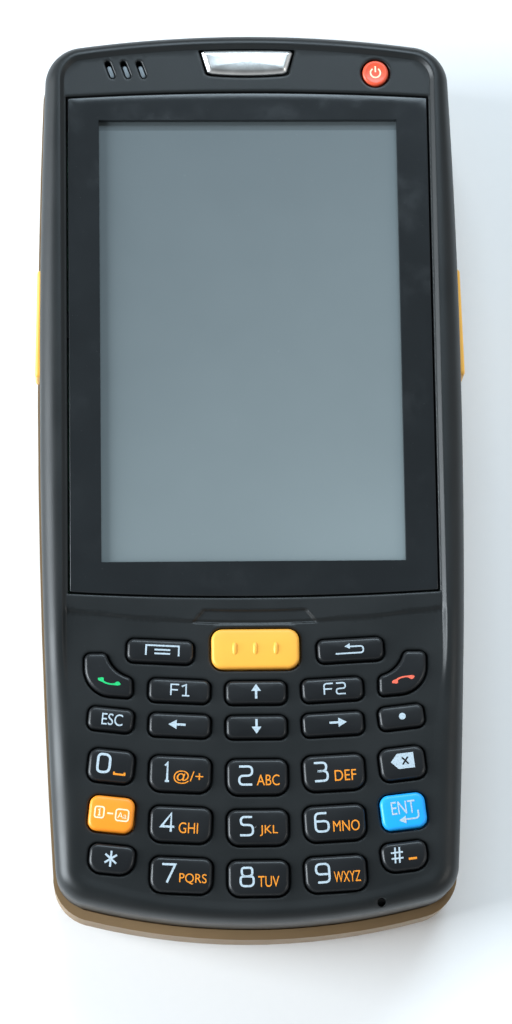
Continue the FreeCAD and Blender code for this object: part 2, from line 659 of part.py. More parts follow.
def make_socket():
    """The data socket on the right and the rubber flap that closes it."""
    socket = new_body("usb_socket")
    middle = -s.port_along
    block(socket, "Additive", (26.4, middle - 3.9, 15.9), (32.8, middle + 3.9, 19.6))
    block(socket, "Subtractive", (27.6, middle - 3.5, 16.3), (33.0, middle + 3.5, 19.2))
    block(socket, "Additive", (27.0, middle - 2.4, 17.4), (32.0, middle + 2.4, 18.1))
    flap = new_body("port_cover")
    block(flap, "Additive", (s.flap_inside, -15.9, 15.5), (s.flap_outside, -2.0, 20.5))
    block(flap, "Additive", (33.0, middle - 3.0, 16.6), (s.flap_inside + 0.1, middle + 3.0, 18.9))
    rod(flap, "Additive", 34.35, -16.0, 15.5, 0.55, 5.0)


def make_triggers():
    """The two side triggers, wedges that stand out further at their lower ends."""
    for label, side in (("left_trigger", -1), ("right_trigger", 1)):
        low, high = s.trigger_low, s.trigger_high
        outline = [(s.trigger_in, low - 1.0, None), (s.trigger_flange, low - 1.0, None),
                   (s.trigger_flange, low, None), (s.trigger_out_low - 0.9, low, 0.95),
                   (s.trigger_out_low, low + 0.9, None), (s.trigger_out_high, high - 0.6, 0.65),
                   (s.trigger_out_high - 0.6, high, None), (s.trigger_flange, high, None),
                   (s.trigger_flange, high + 1.0, None), (s.trigger_in, high + 1.0, None),
                   (s.trigger_in, low + s.trigger_foot_high, None),
                   (s.trigger_foot, low + s.trigger_foot_high, None),
                   (s.trigger_foot, low + s.trigger_foot_low, None),
                   (s.trigger_in, low + s.trigger_foot_low, None)]
        body = new_body(label)
        pad(body, s.trigger_floor, s.trigger_roof - s.trigger_floor,
            outline if side > 0 else mirrored(outline))
    switches = [box_piece("power_switch", (s.power_across - 2.0, s.power_up - 2.0, s.board_roof),
                          (s.power_across + 2.0, s.power_up + 2.0, 22.5))]
    for side in (-1, 1):
        near, far = (28.6, 30.7) if side > 0 else (-30.7, -28.6)
        low, high = s.trigger_low + s.trigger_foot_low - 0.2, s.trigger_low + s.trigger_foot_high + 0.2
        switches.append(box_piece("side_switch", (near, low, s.board_roof), (far, high, 23.0)))
    group("tact_switches", switches)


def make_power_button():
    """The round power button with its flange and stem."""
    body = new_body("power_button")
    rod(body, "Additive", 0, 0, 23.8, s.power_radius + 0.75, 0.5)
    rod(body, "Additive", 0, 0, 24.2, s.power_radius, s.power_top - 24.2)
    rod(body, "Additive", 0, 0, 23.1, 1.2, 0.8)
    round_edges(body, 0.3, lies_at(s.power_top))
    place(body, s.power_across, s.power_up, 0)


def make_fasteners():
    """Four case screws and the four cradle contacts."""
    screws = []
    for side in (-1, 1):
        for up in (s.screw_high, -s.screw_low):
            across = (s.screw_across - (0.6 if up.value > 0 else 0)) * side
            head = disc_piece("head", across, up, 0.9, s.screw_head, 1.2)
            shank = disc_piece("shank", across, up, 2.0, s.screw_radius - 0.02, 17.0)
            screws.append(fused("screw", head, shank))
    group("case_screws", screws)
    pads = [disc_piece("contact", s.contact_pitch * (n - 1.5), -s.contact_along, 0.15,
                       s.contact_radius, 2.2) for n in range(4)]
    group("charging_contacts", pads)


def check_and_write():
    """Check every object and sub-part, then write one STEP file for each node."""
    doc.recompute()
    for thing in doc.Objects:
        assert "Invalid" not in thing.State and "Error" not in thing.State, thing.Label
    os.makedirs("parts", exist_ok=True)
    for node in nodes:
        assert not node.Shape.isNull() and node.Shape.isValid() and node.Shape.Volume > 0, node.Label
        node.Shape.exportStep(f"parts/{node.Label}.step")
        print(f"{node.Label:20s} {len(node.Shape.Solids)} solids {node.Shape.Volume:10.1f} mm3")


make_front_cover()
make_rear_cover()
make_gasket()
make_display()
make_boards()
make_badge()
make_sound()
make_scanner()
make_camera()
make_battery()
make_socket()
make_triggers()
make_power_button()
make_fasteners()
for key in key_layout():
    make_key(*key)
make_call_key("key_call", -1)
make_call_key("key_end", 1)
check_and_write()
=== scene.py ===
"""Looks of a handheld data collector: front shell, touch panel, keypad, side triggers, badge and back."""
import sys

import logging
import math
from dataclasses import dataclass, field
from enum import Enum
from typing import Callable, Sequence

import bmesh
import bpy
import numpy as np
from mathutils import Euler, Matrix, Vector
from mathutils.geometry import delaunay_2d_cdt


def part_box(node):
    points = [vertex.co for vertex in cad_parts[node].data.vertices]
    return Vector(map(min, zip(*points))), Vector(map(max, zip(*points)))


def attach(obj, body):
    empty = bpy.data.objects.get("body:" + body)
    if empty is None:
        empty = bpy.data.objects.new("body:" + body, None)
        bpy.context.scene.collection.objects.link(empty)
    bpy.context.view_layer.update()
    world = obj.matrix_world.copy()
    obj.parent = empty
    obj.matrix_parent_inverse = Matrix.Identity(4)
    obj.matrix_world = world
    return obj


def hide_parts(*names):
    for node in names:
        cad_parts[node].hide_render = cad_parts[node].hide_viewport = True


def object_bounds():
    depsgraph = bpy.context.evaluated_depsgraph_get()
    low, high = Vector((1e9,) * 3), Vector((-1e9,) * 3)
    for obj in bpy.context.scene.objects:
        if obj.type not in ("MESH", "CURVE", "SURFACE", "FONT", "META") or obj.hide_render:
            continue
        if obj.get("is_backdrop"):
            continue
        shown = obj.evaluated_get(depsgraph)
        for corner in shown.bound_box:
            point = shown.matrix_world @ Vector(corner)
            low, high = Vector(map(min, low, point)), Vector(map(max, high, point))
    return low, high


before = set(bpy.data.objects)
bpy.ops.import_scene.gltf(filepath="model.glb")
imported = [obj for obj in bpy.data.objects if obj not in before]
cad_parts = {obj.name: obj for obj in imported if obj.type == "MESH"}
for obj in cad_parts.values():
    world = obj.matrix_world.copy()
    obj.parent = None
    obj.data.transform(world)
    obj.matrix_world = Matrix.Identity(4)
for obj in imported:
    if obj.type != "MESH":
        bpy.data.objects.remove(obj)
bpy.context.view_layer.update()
MM = 0.001
PER_METRE = 1000.0
WELD = 2e-6
SLIVER = 1e-7
log = logging.getLogger("collector")

Array = np.ndarray
Colour = tuple[float, float, float]


def dye(red: int, green: int, blue: int) -> Colour:
    """Turn a display colour of 0 to 255 into linear light."""
    return tuple((value / 255 / 12.92) if value < 11 else ((value / 255 + 0.055) / 1.055) ** 2.4
                 for value in (red, green, blue))


# ---------------------------------------------------------------- shader maths


class Wire:
    """One output of a shader node, on which Python's operators add Math nodes."""

    def __init__(self, graph: "Graph", socket: bpy.types.NodeSocket) -> None:
        """Keep the graph and the socket."""
        self.graph = graph
        self.socket = socket

    def __add__(self, other: "Wire | float") -> "Wire":
        """Sum."""
        return self.graph.maths("ADD", self, other)

    def __sub__(self, other: "Wire | float") -> "Wire":
        """Difference."""
        return self.graph.maths("SUBTRACT", self, other)

    def __rsub__(self, other: float) -> "Wire":
        """Difference from a number."""
        return self.graph.maths("SUBTRACT", other, self)

    def __mul__(self, other: "Wire | float") -> "Wire":
        """Product."""
        return self.graph.maths("MULTIPLY", self, other)

    def __truediv__(self, other: "Wire | float") -> "Wire":
        """Quotient."""
        return self.graph.maths("DIVIDE", self, other)

    def __pow__(self, other: float) -> "Wire":
        """Power."""
        return self.graph.maths("POWER", self, other)

    def __abs__(self) -> "Wire":
        """Size without sign."""
        return self.graph.maths("ABSOLUTE", self)

    __radd__ = __add__
    __rmul__ = __mul__

    def rise(self, low: float, high: float) -> "Wire":
        """Smooth step from 0 at low to 1 at high.

        Args:
            low: where the step starts.
            high: where it ends; under low, the step falls.

        Returns:
            The step's value.
        """
        settings = {"interpolation_type": "SMOOTHSTEP", "clamp": True}
        if low < high:
            return self.graph.add("ShaderNodeMapRange", settings, {0: self, 1: low, 2: high})
        return 1.0 - self.graph.add("ShaderNodeMapRange", settings, {0: self, 1: high, 2: low})


class Graph:
    """A material's node tree, with one method that adds any node."""

    def __init__(self, name: str) -> None:
        """Start a material with a Principled shader.

        Args:
            name: the material's name.
        """
        self.material = bpy.data.materials.new(name)
        self.material.use_nodes = True
        self.tree = self.material.node_tree
        self.tree.nodes.clear()
        self.shader = self.tree.nodes.new("ShaderNodeBsdfPrincipled")
        output = self.tree.nodes.new("ShaderNodeOutputMaterial")
        self.tree.links.new(self.shader.outputs[0], output.inputs[0])

    def add(self, kind: str, settings: dict, inputs: dict, output: int | str = 0) -> Wire:
        """Add a node, set it up, then give its sockets values or links.

        Args:
            kind: the node's type.
            settings: its properties.
            inputs: values or Wires by socket name or number.
            output: which output is wanted.

        Returns:
            The output as a Wire.
        """
        node = self.tree.nodes.new(kind)
        for name, value in settings.items():
            setattr(node, name, value)
        for name, value in inputs.items():
            self.feed(node.inputs[name], value)
        return Wire(self, node.outputs[output])

    def feed(self, socket: bpy.types.NodeSocket, value: "Wire | float | Sequence[float]") -> None:
        """Link a Wire to a socket, or set the socket's own value."""
        if isinstance(value, Wire):
            self.tree.links.new(value.socket, socket)
        else:
            socket.default_value = value

    def maths(self, operation: str, first: "Wire | float", second: "Wire | float" = 0.0) -> Wire:
        """Add one Math node."""
        return self.add("ShaderNodeMath", {"operation": operation}, {0: first, 1: second})

    def place(self) -> Wire:
        """Object coordinates, which are the row frame in metres."""
        return self.add("ShaderNodeTexCoord", {}, {}, "Object")

    def axes(self) -> tuple[Wire, Wire, Wire]:
        """The three Object coordinates in millimetres.

        Returns:
            The x, y and z coordinates.
        """
        split = self.add("ShaderNodeSeparateXYZ", {}, {0: self.place()})
        outputs = split.socket.node.outputs
        return tuple(Wire(self, outputs[number]) * PER_METRE for number in range(3))

    def noise(self, pitch: float, detail: float = 2.0, rough: float = 0.5,
              stretch: Sequence[float] = (1.0, 1.0, 1.0)) -> Wire:
        """Noise with features about pitch millimetres across.

        Args:
            pitch: size of a feature in millimetres.
            detail: octaves.
            rough: weight of the finer octaves.
            stretch: scale along each axis.

        Returns:
            The noise, 0 to 1.
        """
        spread = self.add("ShaderNodeMapping", {}, {"Vector": self.place(), "Scale": stretch})
        return self.add("ShaderNodeTexNoise", {},
                        {"Vector": spread, "Scale": PER_METRE / pitch, "Detail": detail, "Roughness": rough})

    def cells(self, pitch: float) -> Wire:
        """Distance to the nearest of scattered grains about pitch millimetres apart."""
        return self.add("ShaderNodeTexVoronoi", {}, {"Vector": self.place(), "Scale": PER_METRE / pitch})

    def blend(self, factor: Wire, first: "Wire | Colour", second: "Wire | Colour") -> Wire:
        """Mix two colours by a factor."""
        pair = [value if isinstance(value, Wire) else (*value, 1.0) for value in (first, second)]
        return self.add("ShaderNodeMix", {"data_type": "RGBA"}, {0: factor, 6: pair[0], 7: pair[1]}, 2)

    def emboss(self, height: Wire, depth: float, under: Wire | None = None) -> Wire:
        """Bump from a height of 0 to 1.

        Args:
            height: the height.
            depth: depth in millimetres.
            under: a normal to add to.

        Returns:
            The new normal.
        """
        inputs = {"Height": height, "Distance": depth * MM, "Strength": 1.0}
        if under is not None:
            inputs["Normal"] = under
        return self.add("ShaderNodeBump", {}, inputs)

    def finish(self, **sockets: "Wire | float | Sequence[float]") -> bpy.types.Material:
        """Feed the shader's sockets, written with _ for a space, and return the material."""
        for name, value in sockets.items():
            label = name.replace("_", " ")
            if isinstance(value, tuple) and len(value) == 3:
                value = (*value, 1.0)
            self.feed(self.shader.inputs[label], value)
        return self.material


# ---------------------------------------------------------------- finishes


@dataclass(frozen=True)
class Moulded:
    """Moulded plastic or rubber: dyed body, spark-eroded grain, handling polish and a little dust.

    Sizes are in millimetres.
    """

    name: str
    colour: Colour
    roughness: float = 0.45
    grain: float = 0.16
    depth: float = 0.006
    mottle: float = 0.12
    dust: float = 0.03
    coat: float = 0.0
    specular: float = 0.5

    def make(self) -> bpy.types.Material:
        """Build the material.

        Returns:
            The finished material.
        """
        g = Graph(self.name)
        cloud = g.noise(9.0, 4.0, 0.6)
        grains = g.cells(self.grain)
        fine = g.noise(self.grain * 0.6, 3.0, 0.6)
        dark = tuple(value * (1.0 - self.mottle) for value in self.colour)
        light = tuple(value * (1.0 + self.mottle) for value in self.colour)
        body = g.blend(cloud.rise(0.3, 0.7), dark, light)
        specks = g.noise(0.35, 1.0).rise(0.74, 0.8) * g.noise(6.0, 2.0).rise(0.45, 0.7)
        tint = tuple(0.35 + 0.4 * value for value in self.colour)
        colour = g.blend(specks * self.dust, body, tint)
        polish = g.noise(14.0, 3.0, 0.5).rise(0.35, 0.7) * 0.07
        rough = polish * -1.0 + fine * 0.1 + (self.roughness - 0.02)
        normal = g.emboss(grains * 0.6 + fine * 0.6, self.depth)
        return g.finish(Base_Color=colour, Roughness=rough, Normal=normal, Coat_Weight=self.coat,
                        Specular_IOR_Level=self.specular, Coat_Roughness=0.25)


@dataclass(frozen=True)
class Printed:
    """Ink printed on a key: an even dye with a slightly broken, matt film."""

    name: str
    colour: Colour

    def make(self) -> bpy.types.Material:
        """Build the material.

        Returns:
            The finished material.
        """
        g = Graph(self.name)
        film = g.noise(0.25, 3.0, 0.6)
        worn = tuple(value * 0.72 for value in self.colour)
        colour = g.blend(film.rise(0.32, 0.55), worn, self.colour)
        return g.finish(Base_Color=colour, Roughness=film * 0.2 + 0.4, Normal=g.emboss(film, 0.004))


@dataclass(frozen=True)
class Metal:
    """A metal with fine brushing or polish, faint smears and small scratches."""

    name: str
    colour: Colour
    roughness: float = 0.25
    brush: float = 0.3
    stretch: tuple[float, float, float] = (1.0, 1.0, 1.0)

    def make(self) -> bpy.types.Material:
        """Build the material.

        Returns:
            The finished material.
        """
        g = Graph(self.name)
        lines = g.noise(self.brush, 4.0, 0.6, self.stretch)
        smear = g.noise(3.0, 3.0, 0.6)
        shade = tuple(value * 0.85 for value in self.colour)
        colour = g.blend(smear.rise(0.3, 0.75), shade, self.colour)
        rough = lines * 0.08 + smear * 0.06 + (self.roughness - 0.06)
        return g.finish(Base_Color=colour, Metallic=1.0, Roughness=rough, Normal=g.emboss(lines, 0.002))


@dataclass(frozen=True)
class Gloss:
    """A glossy pane or back-printed border: dark dye, faint finger smears and fine dust."""

    name: str
    colour: Colour
    roughness: float = 0.08
    smear: float = 0.1

    def make(self) -> bpy.types.Material:
        """Build the material.

        Returns:
            The finished material.
        """
        g = Graph(self.name)
        touch = g.noise(7.0, 4.0, 0.65).rise(0.45, 0.75)
        dust = g.noise(0.22, 1.0).rise(0.77, 0.82) * 0.12
        shade = tuple(value * 1.25 for value in self.colour)
        body = g.blend(g.noise(18.0, 2.0).rise(0.3, 0.7), self.colour, shade)
        colour = g.blend(dust, body, (0.3, 0.3, 0.31))
        rough = touch * self.smear + dust + self.roughness
        ripple = g.noise(16.0, 1.0)
        return g.finish(Base_Color=colour, Roughness=rough, Normal=g.emboss(ripple, 0.01),
                        Specular_IOR_Level=0.5)


@dataclass(frozen=True)
class DisplayFace:
    """The unlit display: grey cells under a satin polariser, with a painted reflection that lightens it to
    the lower right and a painted shadow along its top.

    Edges are in millimetres in the row frame.
    """

    name: str
    low: Colour
    high: Colour
    left: float
    right: float
    bottom: float
    top: float

    def make(self) -> bpy.types.Material:
        """Build the material.

        Returns:
            The finished material. Its colour climbs along the diagonal as a painted reflection, with a
            painted shadow band at the top edge where the border shades the sunk display, and a fine cell
            pattern.
        """
        g = Graph(self.name)
        x, y, _ = g.axes()
        down = (self.top - y) / (self.top - self.bottom)
        across = (x - self.left) / (self.right - self.left)
        # painted reflection: the colour climbs from the upper left to the lower right, with a little random
        # variation, as the bright surroundings mirror in the pane
        climb = down * 0.75 + across * 0.25 + g.noise(26.0, 2.0) * 0.16 - 0.08
        face = g.blend(climb.rise(-0.05, 1.1), self.low, self.high)
        # painted glare: a lighter patch in the lower right corner
        corner = (down.rise(0.72, 1.02) * across.rise(0.3, 1.0)) * 0.35
        face = g.blend(corner, face, tuple(min(1.0, value * 1.35) for value in self.high))
        # painted shadow: a darker band along the top, where the border shades the sunk display
        margin = y.rise(self.top - 1.6, self.top - 1.45)
        face = g.blend(margin * 0.5, face, tuple(value * 0.32 for value in self.low))
        rows = abs(g.maths("SINE", y * 26.0)) * 0.5 + abs(g.maths("SINE", x * 26.0)) * 0.5
        face = g.blend(rows * 0.05, face, (0.02, 0.02, 0.02))
        dust = g.noise(0.3, 1.0).rise(0.79, 0.83)
        face = g.blend(dust * 0.25, face, (0.6, 0.62, 0.62))
        return g.finish(Base_Color=face, Roughness=g.noise(5.0, 3.0) * 0.12 + 0.3,
                        Specular_IOR_Level=0.35, Normal=g.emboss(g.noise(0.5, 2.0), 0.002))


@dataclass(frozen=True)
class Board:
    """A circuit board: solder mask over copper tracks, with glass weave under it."""

    name: str
    mask: Colour

    def make(self) -> bpy.types.Material:
        """Build the material.

        Returns:
            The finished material.
        """
        g = Graph(self.name)
        x, y, _ = g.axes()
        tracks = abs(g.maths("SINE", x * 4.2)).rise(0.86, 0.92) * g.noise(4.0, 1.0).rise(0.45, 0.5)
        rows = abs(g.maths("SINE", y * 3.1)).rise(0.9, 0.95) * g.noise(5.0, 1.0).rise(0.52, 0.56)
        copper = tuple(min(1.0, value * 2.2 + 0.02) for value in self.mask)
        colour = g.blend(g.maths("MAXIMUM", tracks, rows), self.mask, copper)
        return g.finish(Base_Color=colour, Roughness=g.noise(1.0) * 0.15 + 0.3,
                        Normal=g.emboss(tracks + rows, 0.02))


class Finish(Enum):
    """Every finish of the collector."""

    FRONT = Moulded("front_plastic", dye(25, 28, 29), 0.4, 0.17, 0.007, 0.06, 0.05, 0.0, 0.4)
    # rear shell: its brown is a painted reflection of a wooden desk in the shell's dark grey plastic,
    # lightened against the shade on its steep lower walls
    BACK = Moulded("back_plastic_painted_reflection", dye(136, 111, 80), 0.5, 0.22, 0.01, 0.03, 0.03, 0.0, 0.3)
    SEAL = Moulded("seal_rubber", dye(22, 22, 23), 0.7, 0.3, 0.01, 0.1, 0.02, 0.0, 0.3)
    KEY = Moulded("key_black", dye(25, 27, 29), 0.33, 0.12, 0.003, 0.06, 0.05, 0.0, 0.4)
    WELL = Moulded("well_black", dye(7, 7, 8), 0.6, 0.2, 0.004, 0.1, 0.0, 0.0, 0.2)
    SCAN = Moulded("scan_yellow", dye(252, 178, 66), 0.45, 0.14, 0.003, 0.03, 0.0)
    TRIGGER = Moulded("trigger_yellow", dye(247, 183, 78), 0.4, 0.15, 0.003, 0.04, 0.0)
    ORANGE = Moulded("shift_orange", dye(255, 150, 36), 0.4, 0.14, 0.003, 0.04, 0.0)
    BLUE = Moulded("enter_blue", dye(28, 165, 246), 0.4, 0.14, 0.003, 0.04, 0.0)
    RED = Moulded("power_red", dye(233, 88, 58), 0.38, 0.14, 0.003, 0.06, 0.0)
    BLACK = Moulded("module_black", dye(26, 27, 29), 0.5, 0.2, 0.006, 0.1, 0.02)
    SILICONE = Moulded("membrane_silicone", dye(150, 150, 152), 0.6, 0.4, 0.01, 0.06, 0.01)
    WRAP = Moulded("battery_wrap", dye(64, 70, 78), 0.32, 0.5, 0.004, 0.08, 0.02, 0.3)
    BORDER = Gloss("panel_border", dye(30, 33, 35), 0.16, 0.1)
    WINDOW = Gloss("scan_glass", dye(48, 10, 14), 0.05, 0.05)
    LENS = Gloss("camera_glass", dye(14, 15, 20), 0.04, 0.05)
    CHROME = Metal("badge_chrome", (0.97, 0.97, 0.95), 0.3, 0.3)
    INSERT = Moulded("earpiece_grey", dye(104, 114, 120), 0.4, 0.2, 0.004, 0.06, 0.0)
    STEEL = Metal("frame_steel", (0.56, 0.57, 0.59), 0.32, 0.2, (1.0, 12.0, 1.0))
    SCREW = Metal("screw_steel", (0.36, 0.37, 0.39), 0.3, 0.3)
    GOLD = Metal("contact_gold", (0.85, 0.62, 0.28), 0.22, 0.2)
    GREEN = Board("board_green", dye(22, 74, 46))
    WHITE_INK = Printed("ink_white", dye(184, 200, 210))
    ORANGE_INK = Printed("ink_orange", dye(245, 150, 34))
    CREAM_INK = Printed("ink_cream", dye(255, 236, 196))
    GREEN_INK = Printed("ink_green", dye(24, 200, 116))
    RED_INK = Printed("ink_red", dye(250, 110, 84))


MADE: dict[Finish, bpy.types.Material] = {}


def coat(finish: Finish) -> bpy.types.Material:
    """Return a finish's material, made once."""
    if finish not in MADE:
        MADE[finish] = finish.value.make()
    return MADE[finish]


# ---------------------------------------------------------------- outlines and meshes


def bend(start: Sequence[float], end: Sequence[float], radius: float, count: int) -> Array:
    """Sample the arc from start to end that bulges to the right of the way, without its end.

    The centre stands on the chord's middle normal, at the square root of radius squared less half the
    chord squared.

    Args:
        start: first point.
        end: last point.
        radius: radius of the arc; negative bulges to the left.
        count: number of points.

    Returns:
        count by 2 points.
    """
    a, b = np.array(start, float), np.array(end, float)
    chord = b - a
    length = np.hypot(*chord)
    normal = np.array([-chord[1], chord[0]]) / length
    centre = (a + b) / 2 + normal * math.copysign(math.sqrt(radius ** 2 - length ** 2 / 4), radius)
    first = math.atan2(*(a - centre)[::-1])
    turn = (math.atan2(*(b - centre)[::-1]) - first + math.pi) % (2 * math.pi) - math.pi
    angle = first + turn * np.arange(count) / count
    return centre + abs(radius) * np.stack([np.cos(angle), np.sin(angle)], 1)


def run(start: Sequence[float], end: Sequence[float], count: int) -> Array:
    """Sample a straight line without its end."""
    share = (np.arange(count) / count)[:, None]
    return np.array(start, float) * (1 - share) + np.array(end, float) * share


def even(path: Array, count: int) -> Array:
    """Space a closed path's points evenly along its length.

    Args:
        path: closed path, its end left out.
        count: number of points wanted.

    Returns:
        count by 2 points.
    """
    ring = np.vstack([path, path[:1]])
    along = np.concatenate([[0], np.cumsum(np.hypot(*np.diff(ring, axis=0).T))])
    wanted = along[-1] * np.arange(count) / count
    return np.stack([np.interp(wanted, along, ring[:, axis]) for axis in (0, 1)], 1)


def length_of(path: Array) -> float:
    """Length of a closed path."""
    return float(np.hypot(*(np.roll(path, -1, 0) - path).T).sum())


def outward(path: Array) -> Array:
    """Unit normals of a closed anticlockwise path, from the points before and after.

    Args:
        path: n by 2 closed path.

    Returns:
        n by 2 normals that point out of it.
    """
    way = np.roll(path, -1, 0) - np.roll(path, 1, 0)
    way /= np.hypot(*way.T)[:, None]
    return np.stack([way[:, 1], -way[:, 0]], 1)


def rounded(wide: float, high: float, radii: Sequence[float], steps: int = 7) -> Array:
    """A rounded rectangle about the origin, anticlockwise from the lower left corner.

    Each corner is a quarter circle of its own radius; the sides join them.

    Args:
        wide: width.
        high: height.
        radii: radius of the lower left, lower right, upper right and upper left corner.
        steps: points on each corner.

    Returns:
        The closed path.
    """
    angle = np.linspace(0, math.pi / 2, steps)
    parts = []
    for number, (sx, sy) in enumerate(((-1, -1), (1, -1), (1, 1), (-1, 1))):
        radius = radii[number]
        centre = np.array([sx * (wide / 2 - radius), sy * (high / 2 - radius)])
        turn = angle + math.pi + number * math.pi / 2
        parts.append(centre + radius * np.stack([np.cos(turn), np.sin(turn)], 1))
    return np.vstack(parts)


def turned(path: Array, degrees: float, x: float = 0.0, y: float = 0.0) -> Array:
    """Turn points about the origin, then move them."""
    c, n = math.cos(math.radians(degrees)), math.sin(math.radians(degrees))
    return path @ np.array([[c, n], [-n, c]]) + [x, y]


def step(value: Array, low: float, high: float) -> Array:
    """Smooth step, 3t squared less 2t cubed, from 0 at low to 1 at high."""
    t = np.clip((np.asarray(value, float) - low) / (high - low), 0, 1)
    return t * t * (3 - 2 * t)


def gap_to(points: Array, path: Array) -> Array:
    """Distance from each point to a closed path, negative inside it.

    The nearest point on every edge is the clipped projection; the sign is the even-odd rule.

    Args:
        points: n by 2 points.
        path: m by 2 closed path.

    Returns:
        n signed distances.
    """
    ends = np.roll(path, -1, 0)
    edge = ends - path
    lengths = (edge ** 2).sum(1)
    away = points[:, None] - path[None]
    share = np.clip((away * edge).sum(2) / lengths, 0, 1)
    distance = np.sqrt((((away - share[..., None] * edge)) ** 2).sum(2).min(1))
    x, y = points[:, :1], points[:, 1:]
    spans = (path[:, 1] > y) != (ends[:, 1] > y)
    drop = np.where(edge[:, 1] == 0, 1e-12, edge[:, 1])
    left = x < path[:, 0] + (y - path[:, 1]) * edge[:, 0] / drop
    return np.where((spans & left).sum(1) % 2 == 1, -distance, distance)


def lift(path: Array, z: "float | Array") -> Array:
    """Give plan points a height."""
    return np.column_stack([path, np.broadcast_to(z, len(path))])


def fan_of(count: int) -> Array:
    """Triangles from the sides of a polygon with this many corners to a middle point after them."""
    index = np.arange(count)
    return np.stack([index, (index + 1) % count, np.full(count, count)], 1)


def circle(at: Sequence[float], radius: float, count: int) -> Array:
    """Points on a circle about a point, anticlockwise."""
    angle = np.arange(count) / count * 2 * math.pi
    return np.stack([at[0] + radius * np.cos(angle), at[1] + radius * np.sin(angle)], 1)


def filled(loops: Sequence[Array], loose: Array) -> tuple[Array, Array]:
    """Triangles that fill the first closed path and leave out the others.

    They are Delaunay triangles kept to the paths' edges; one is kept if its middle is inside the first
    path and outside every other.

    Args:
        loops: closed paths, the outer one first.
        loose: points to spread the triangles between.

    Returns:
        The plan points and the triangles.
    """
    edges, start = [], 0
    for loop in loops:
        index = np.arange(len(loop))
        edges += np.stack([index + start, (index + 1) % len(loop) + start], 1).tolist()
        start += len(loop)
    points = [Vector(point) for point in np.vstack([*loops, loose]).tolist()]
    result = delaunay_2d_cdt(points, edges, [], 0, 1e-7)
    plan, faces = np.array([tuple(point) for point in result[0]]), np.array(result[2])
    centre = plan[faces].mean(1)
    kept = gap_to(centre, loops[0]) < 0
    for hole in loops[1:]:
        inside = ((centre > hole.min(0)) & (centre < hole.max(0))).all(1)
        kept[inside] &= gap_to(centre[inside], hole) > 0
    return plan, faces[kept]


class Mesh:
    """Vertices and faces gathered from grids, fans and patches, in millimetres."""

    def __init__(self) -> None:
        """Start empty."""
        self.points: list[Array] = []
        self.faces: list[list[int]] = []
        self.slots: list[int] = []
        self.total = 0

    def _keep(self, points: Array, faces: Array, slot: int) -> None:
        """Add points and the faces that use them.

        Args:
            points: n by 3 points.
            faces: corner numbers, counted from the first of these points.
            slot: material slot.
        """
        self.points.append(points)
        self.faces += (faces + self.total).tolist()
        self.slots += [slot] * len(faces)
        self.total += len(points)

    def grid(self, rows: Sequence[Array], closed: bool = True, slot: int = 0,
             skip: Callable[[Array, Array], Array] | None = None) -> None:
        """Join rows of points into quads; row by row, the faces look to the left of the way up.

        Args:
            rows: arrays of the same length, c by 3.
            closed: whether each row closes on itself.
            slot: material slot.
            skip: test on the row and column numbers that leaves faces out.
        """
        block = np.stack(rows)
        count, width = block.shape[:2]
        columns = np.arange(width if closed else width - 1)
        row, column = np.meshgrid(np.arange(count - 1), columns, indexing="ij")
        if skip is not None:
            kept = ~skip(row, column)
            row, column = row[kept], column[kept]
        row, column = row.ravel(), column.ravel()
        after = (column + 1) % width
        faces = np.stack([row * width + column, row * width + after,
                          (row + 1) * width + after, (row + 1) * width + column], 1)
        self._keep(block.reshape(-1, 3), faces, slot)

    def fan(self, ring: Array, centre: Sequence[float], slot: int = 0) -> None:
        """Close a ring with triangles to a centre."""
        self._keep(np.vstack([ring, centre]), fan_of(len(ring)), slot)

    def patch(self, points: Array, faces: Array, slot: int = 0) -> None:
        """Add points with faces of their own."""
        self._keep(points, faces, slot)

    def build(self, name: str, finishes: Sequence[Finish], body: str, slot: str,
              replaces: Sequence[str] = (), sharp: float = 38.0, outwards: bool = False) -> bpy.types.Object:
        """Make the object, weld its seams, shade it and let it ride on its body.

        Args:
            name: the piece's name.
            finishes: one finish for each slot.
            body: the CAD body that it moves with.
            slot: the record's material slot; not used.
            replaces: CAD nodes that it stands for.
            sharp: edges that turn by more degrees than this stay sharp.
            outwards: whether to recalculate the normals of this closed shape.

        Returns:
            The object.
        """
        data = bpy.data.meshes.new(name)
        data.from_pydata((np.vstack(self.points) * MM).tolist(), [], self.faces)
        data.polygons.foreach_set("material_index", self.slots)
        work = bmesh.new()
        work.from_mesh(data)
        bmesh.ops.remove_doubles(work, verts=work.verts, dist=WELD)
        bmesh.ops.dissolve_degenerate(work, edges=work.edges, dist=SLIVER)
        if outwards:
            bmesh.ops.recalc_face_normals(work, faces=work.faces)
        work.to_mesh(data)
        work.free()
        data.shade_smooth()
        data.set_sharp_from_angle(angle=math.radians(sharp))
        for finish in finishes:
            data.materials.append(coat(finish))
        piece = bpy.data.objects.new(name, data)
        bpy.context.scene.collection.objects.link(piece)
        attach(piece, body)
        if replaces:
            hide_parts(*replaces)
        log.info("%s: %d vertices, %d faces", name, len(data.vertices), len(data.polygons))
        return piece


def box_of(node: str) -> tuple[Array, Array]:
    """A CAD node's corners in millimetres."""
    low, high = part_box(node)
    return np.array(low) / MM, np.array(high) / MM


def middle(node: str) -> Array:
    """The centre of a CAD node's box in millimetres."""
    low, high = box_of(node)
    return (low + high) / 2


# ---------------------------------------------------------------- keypad outlines


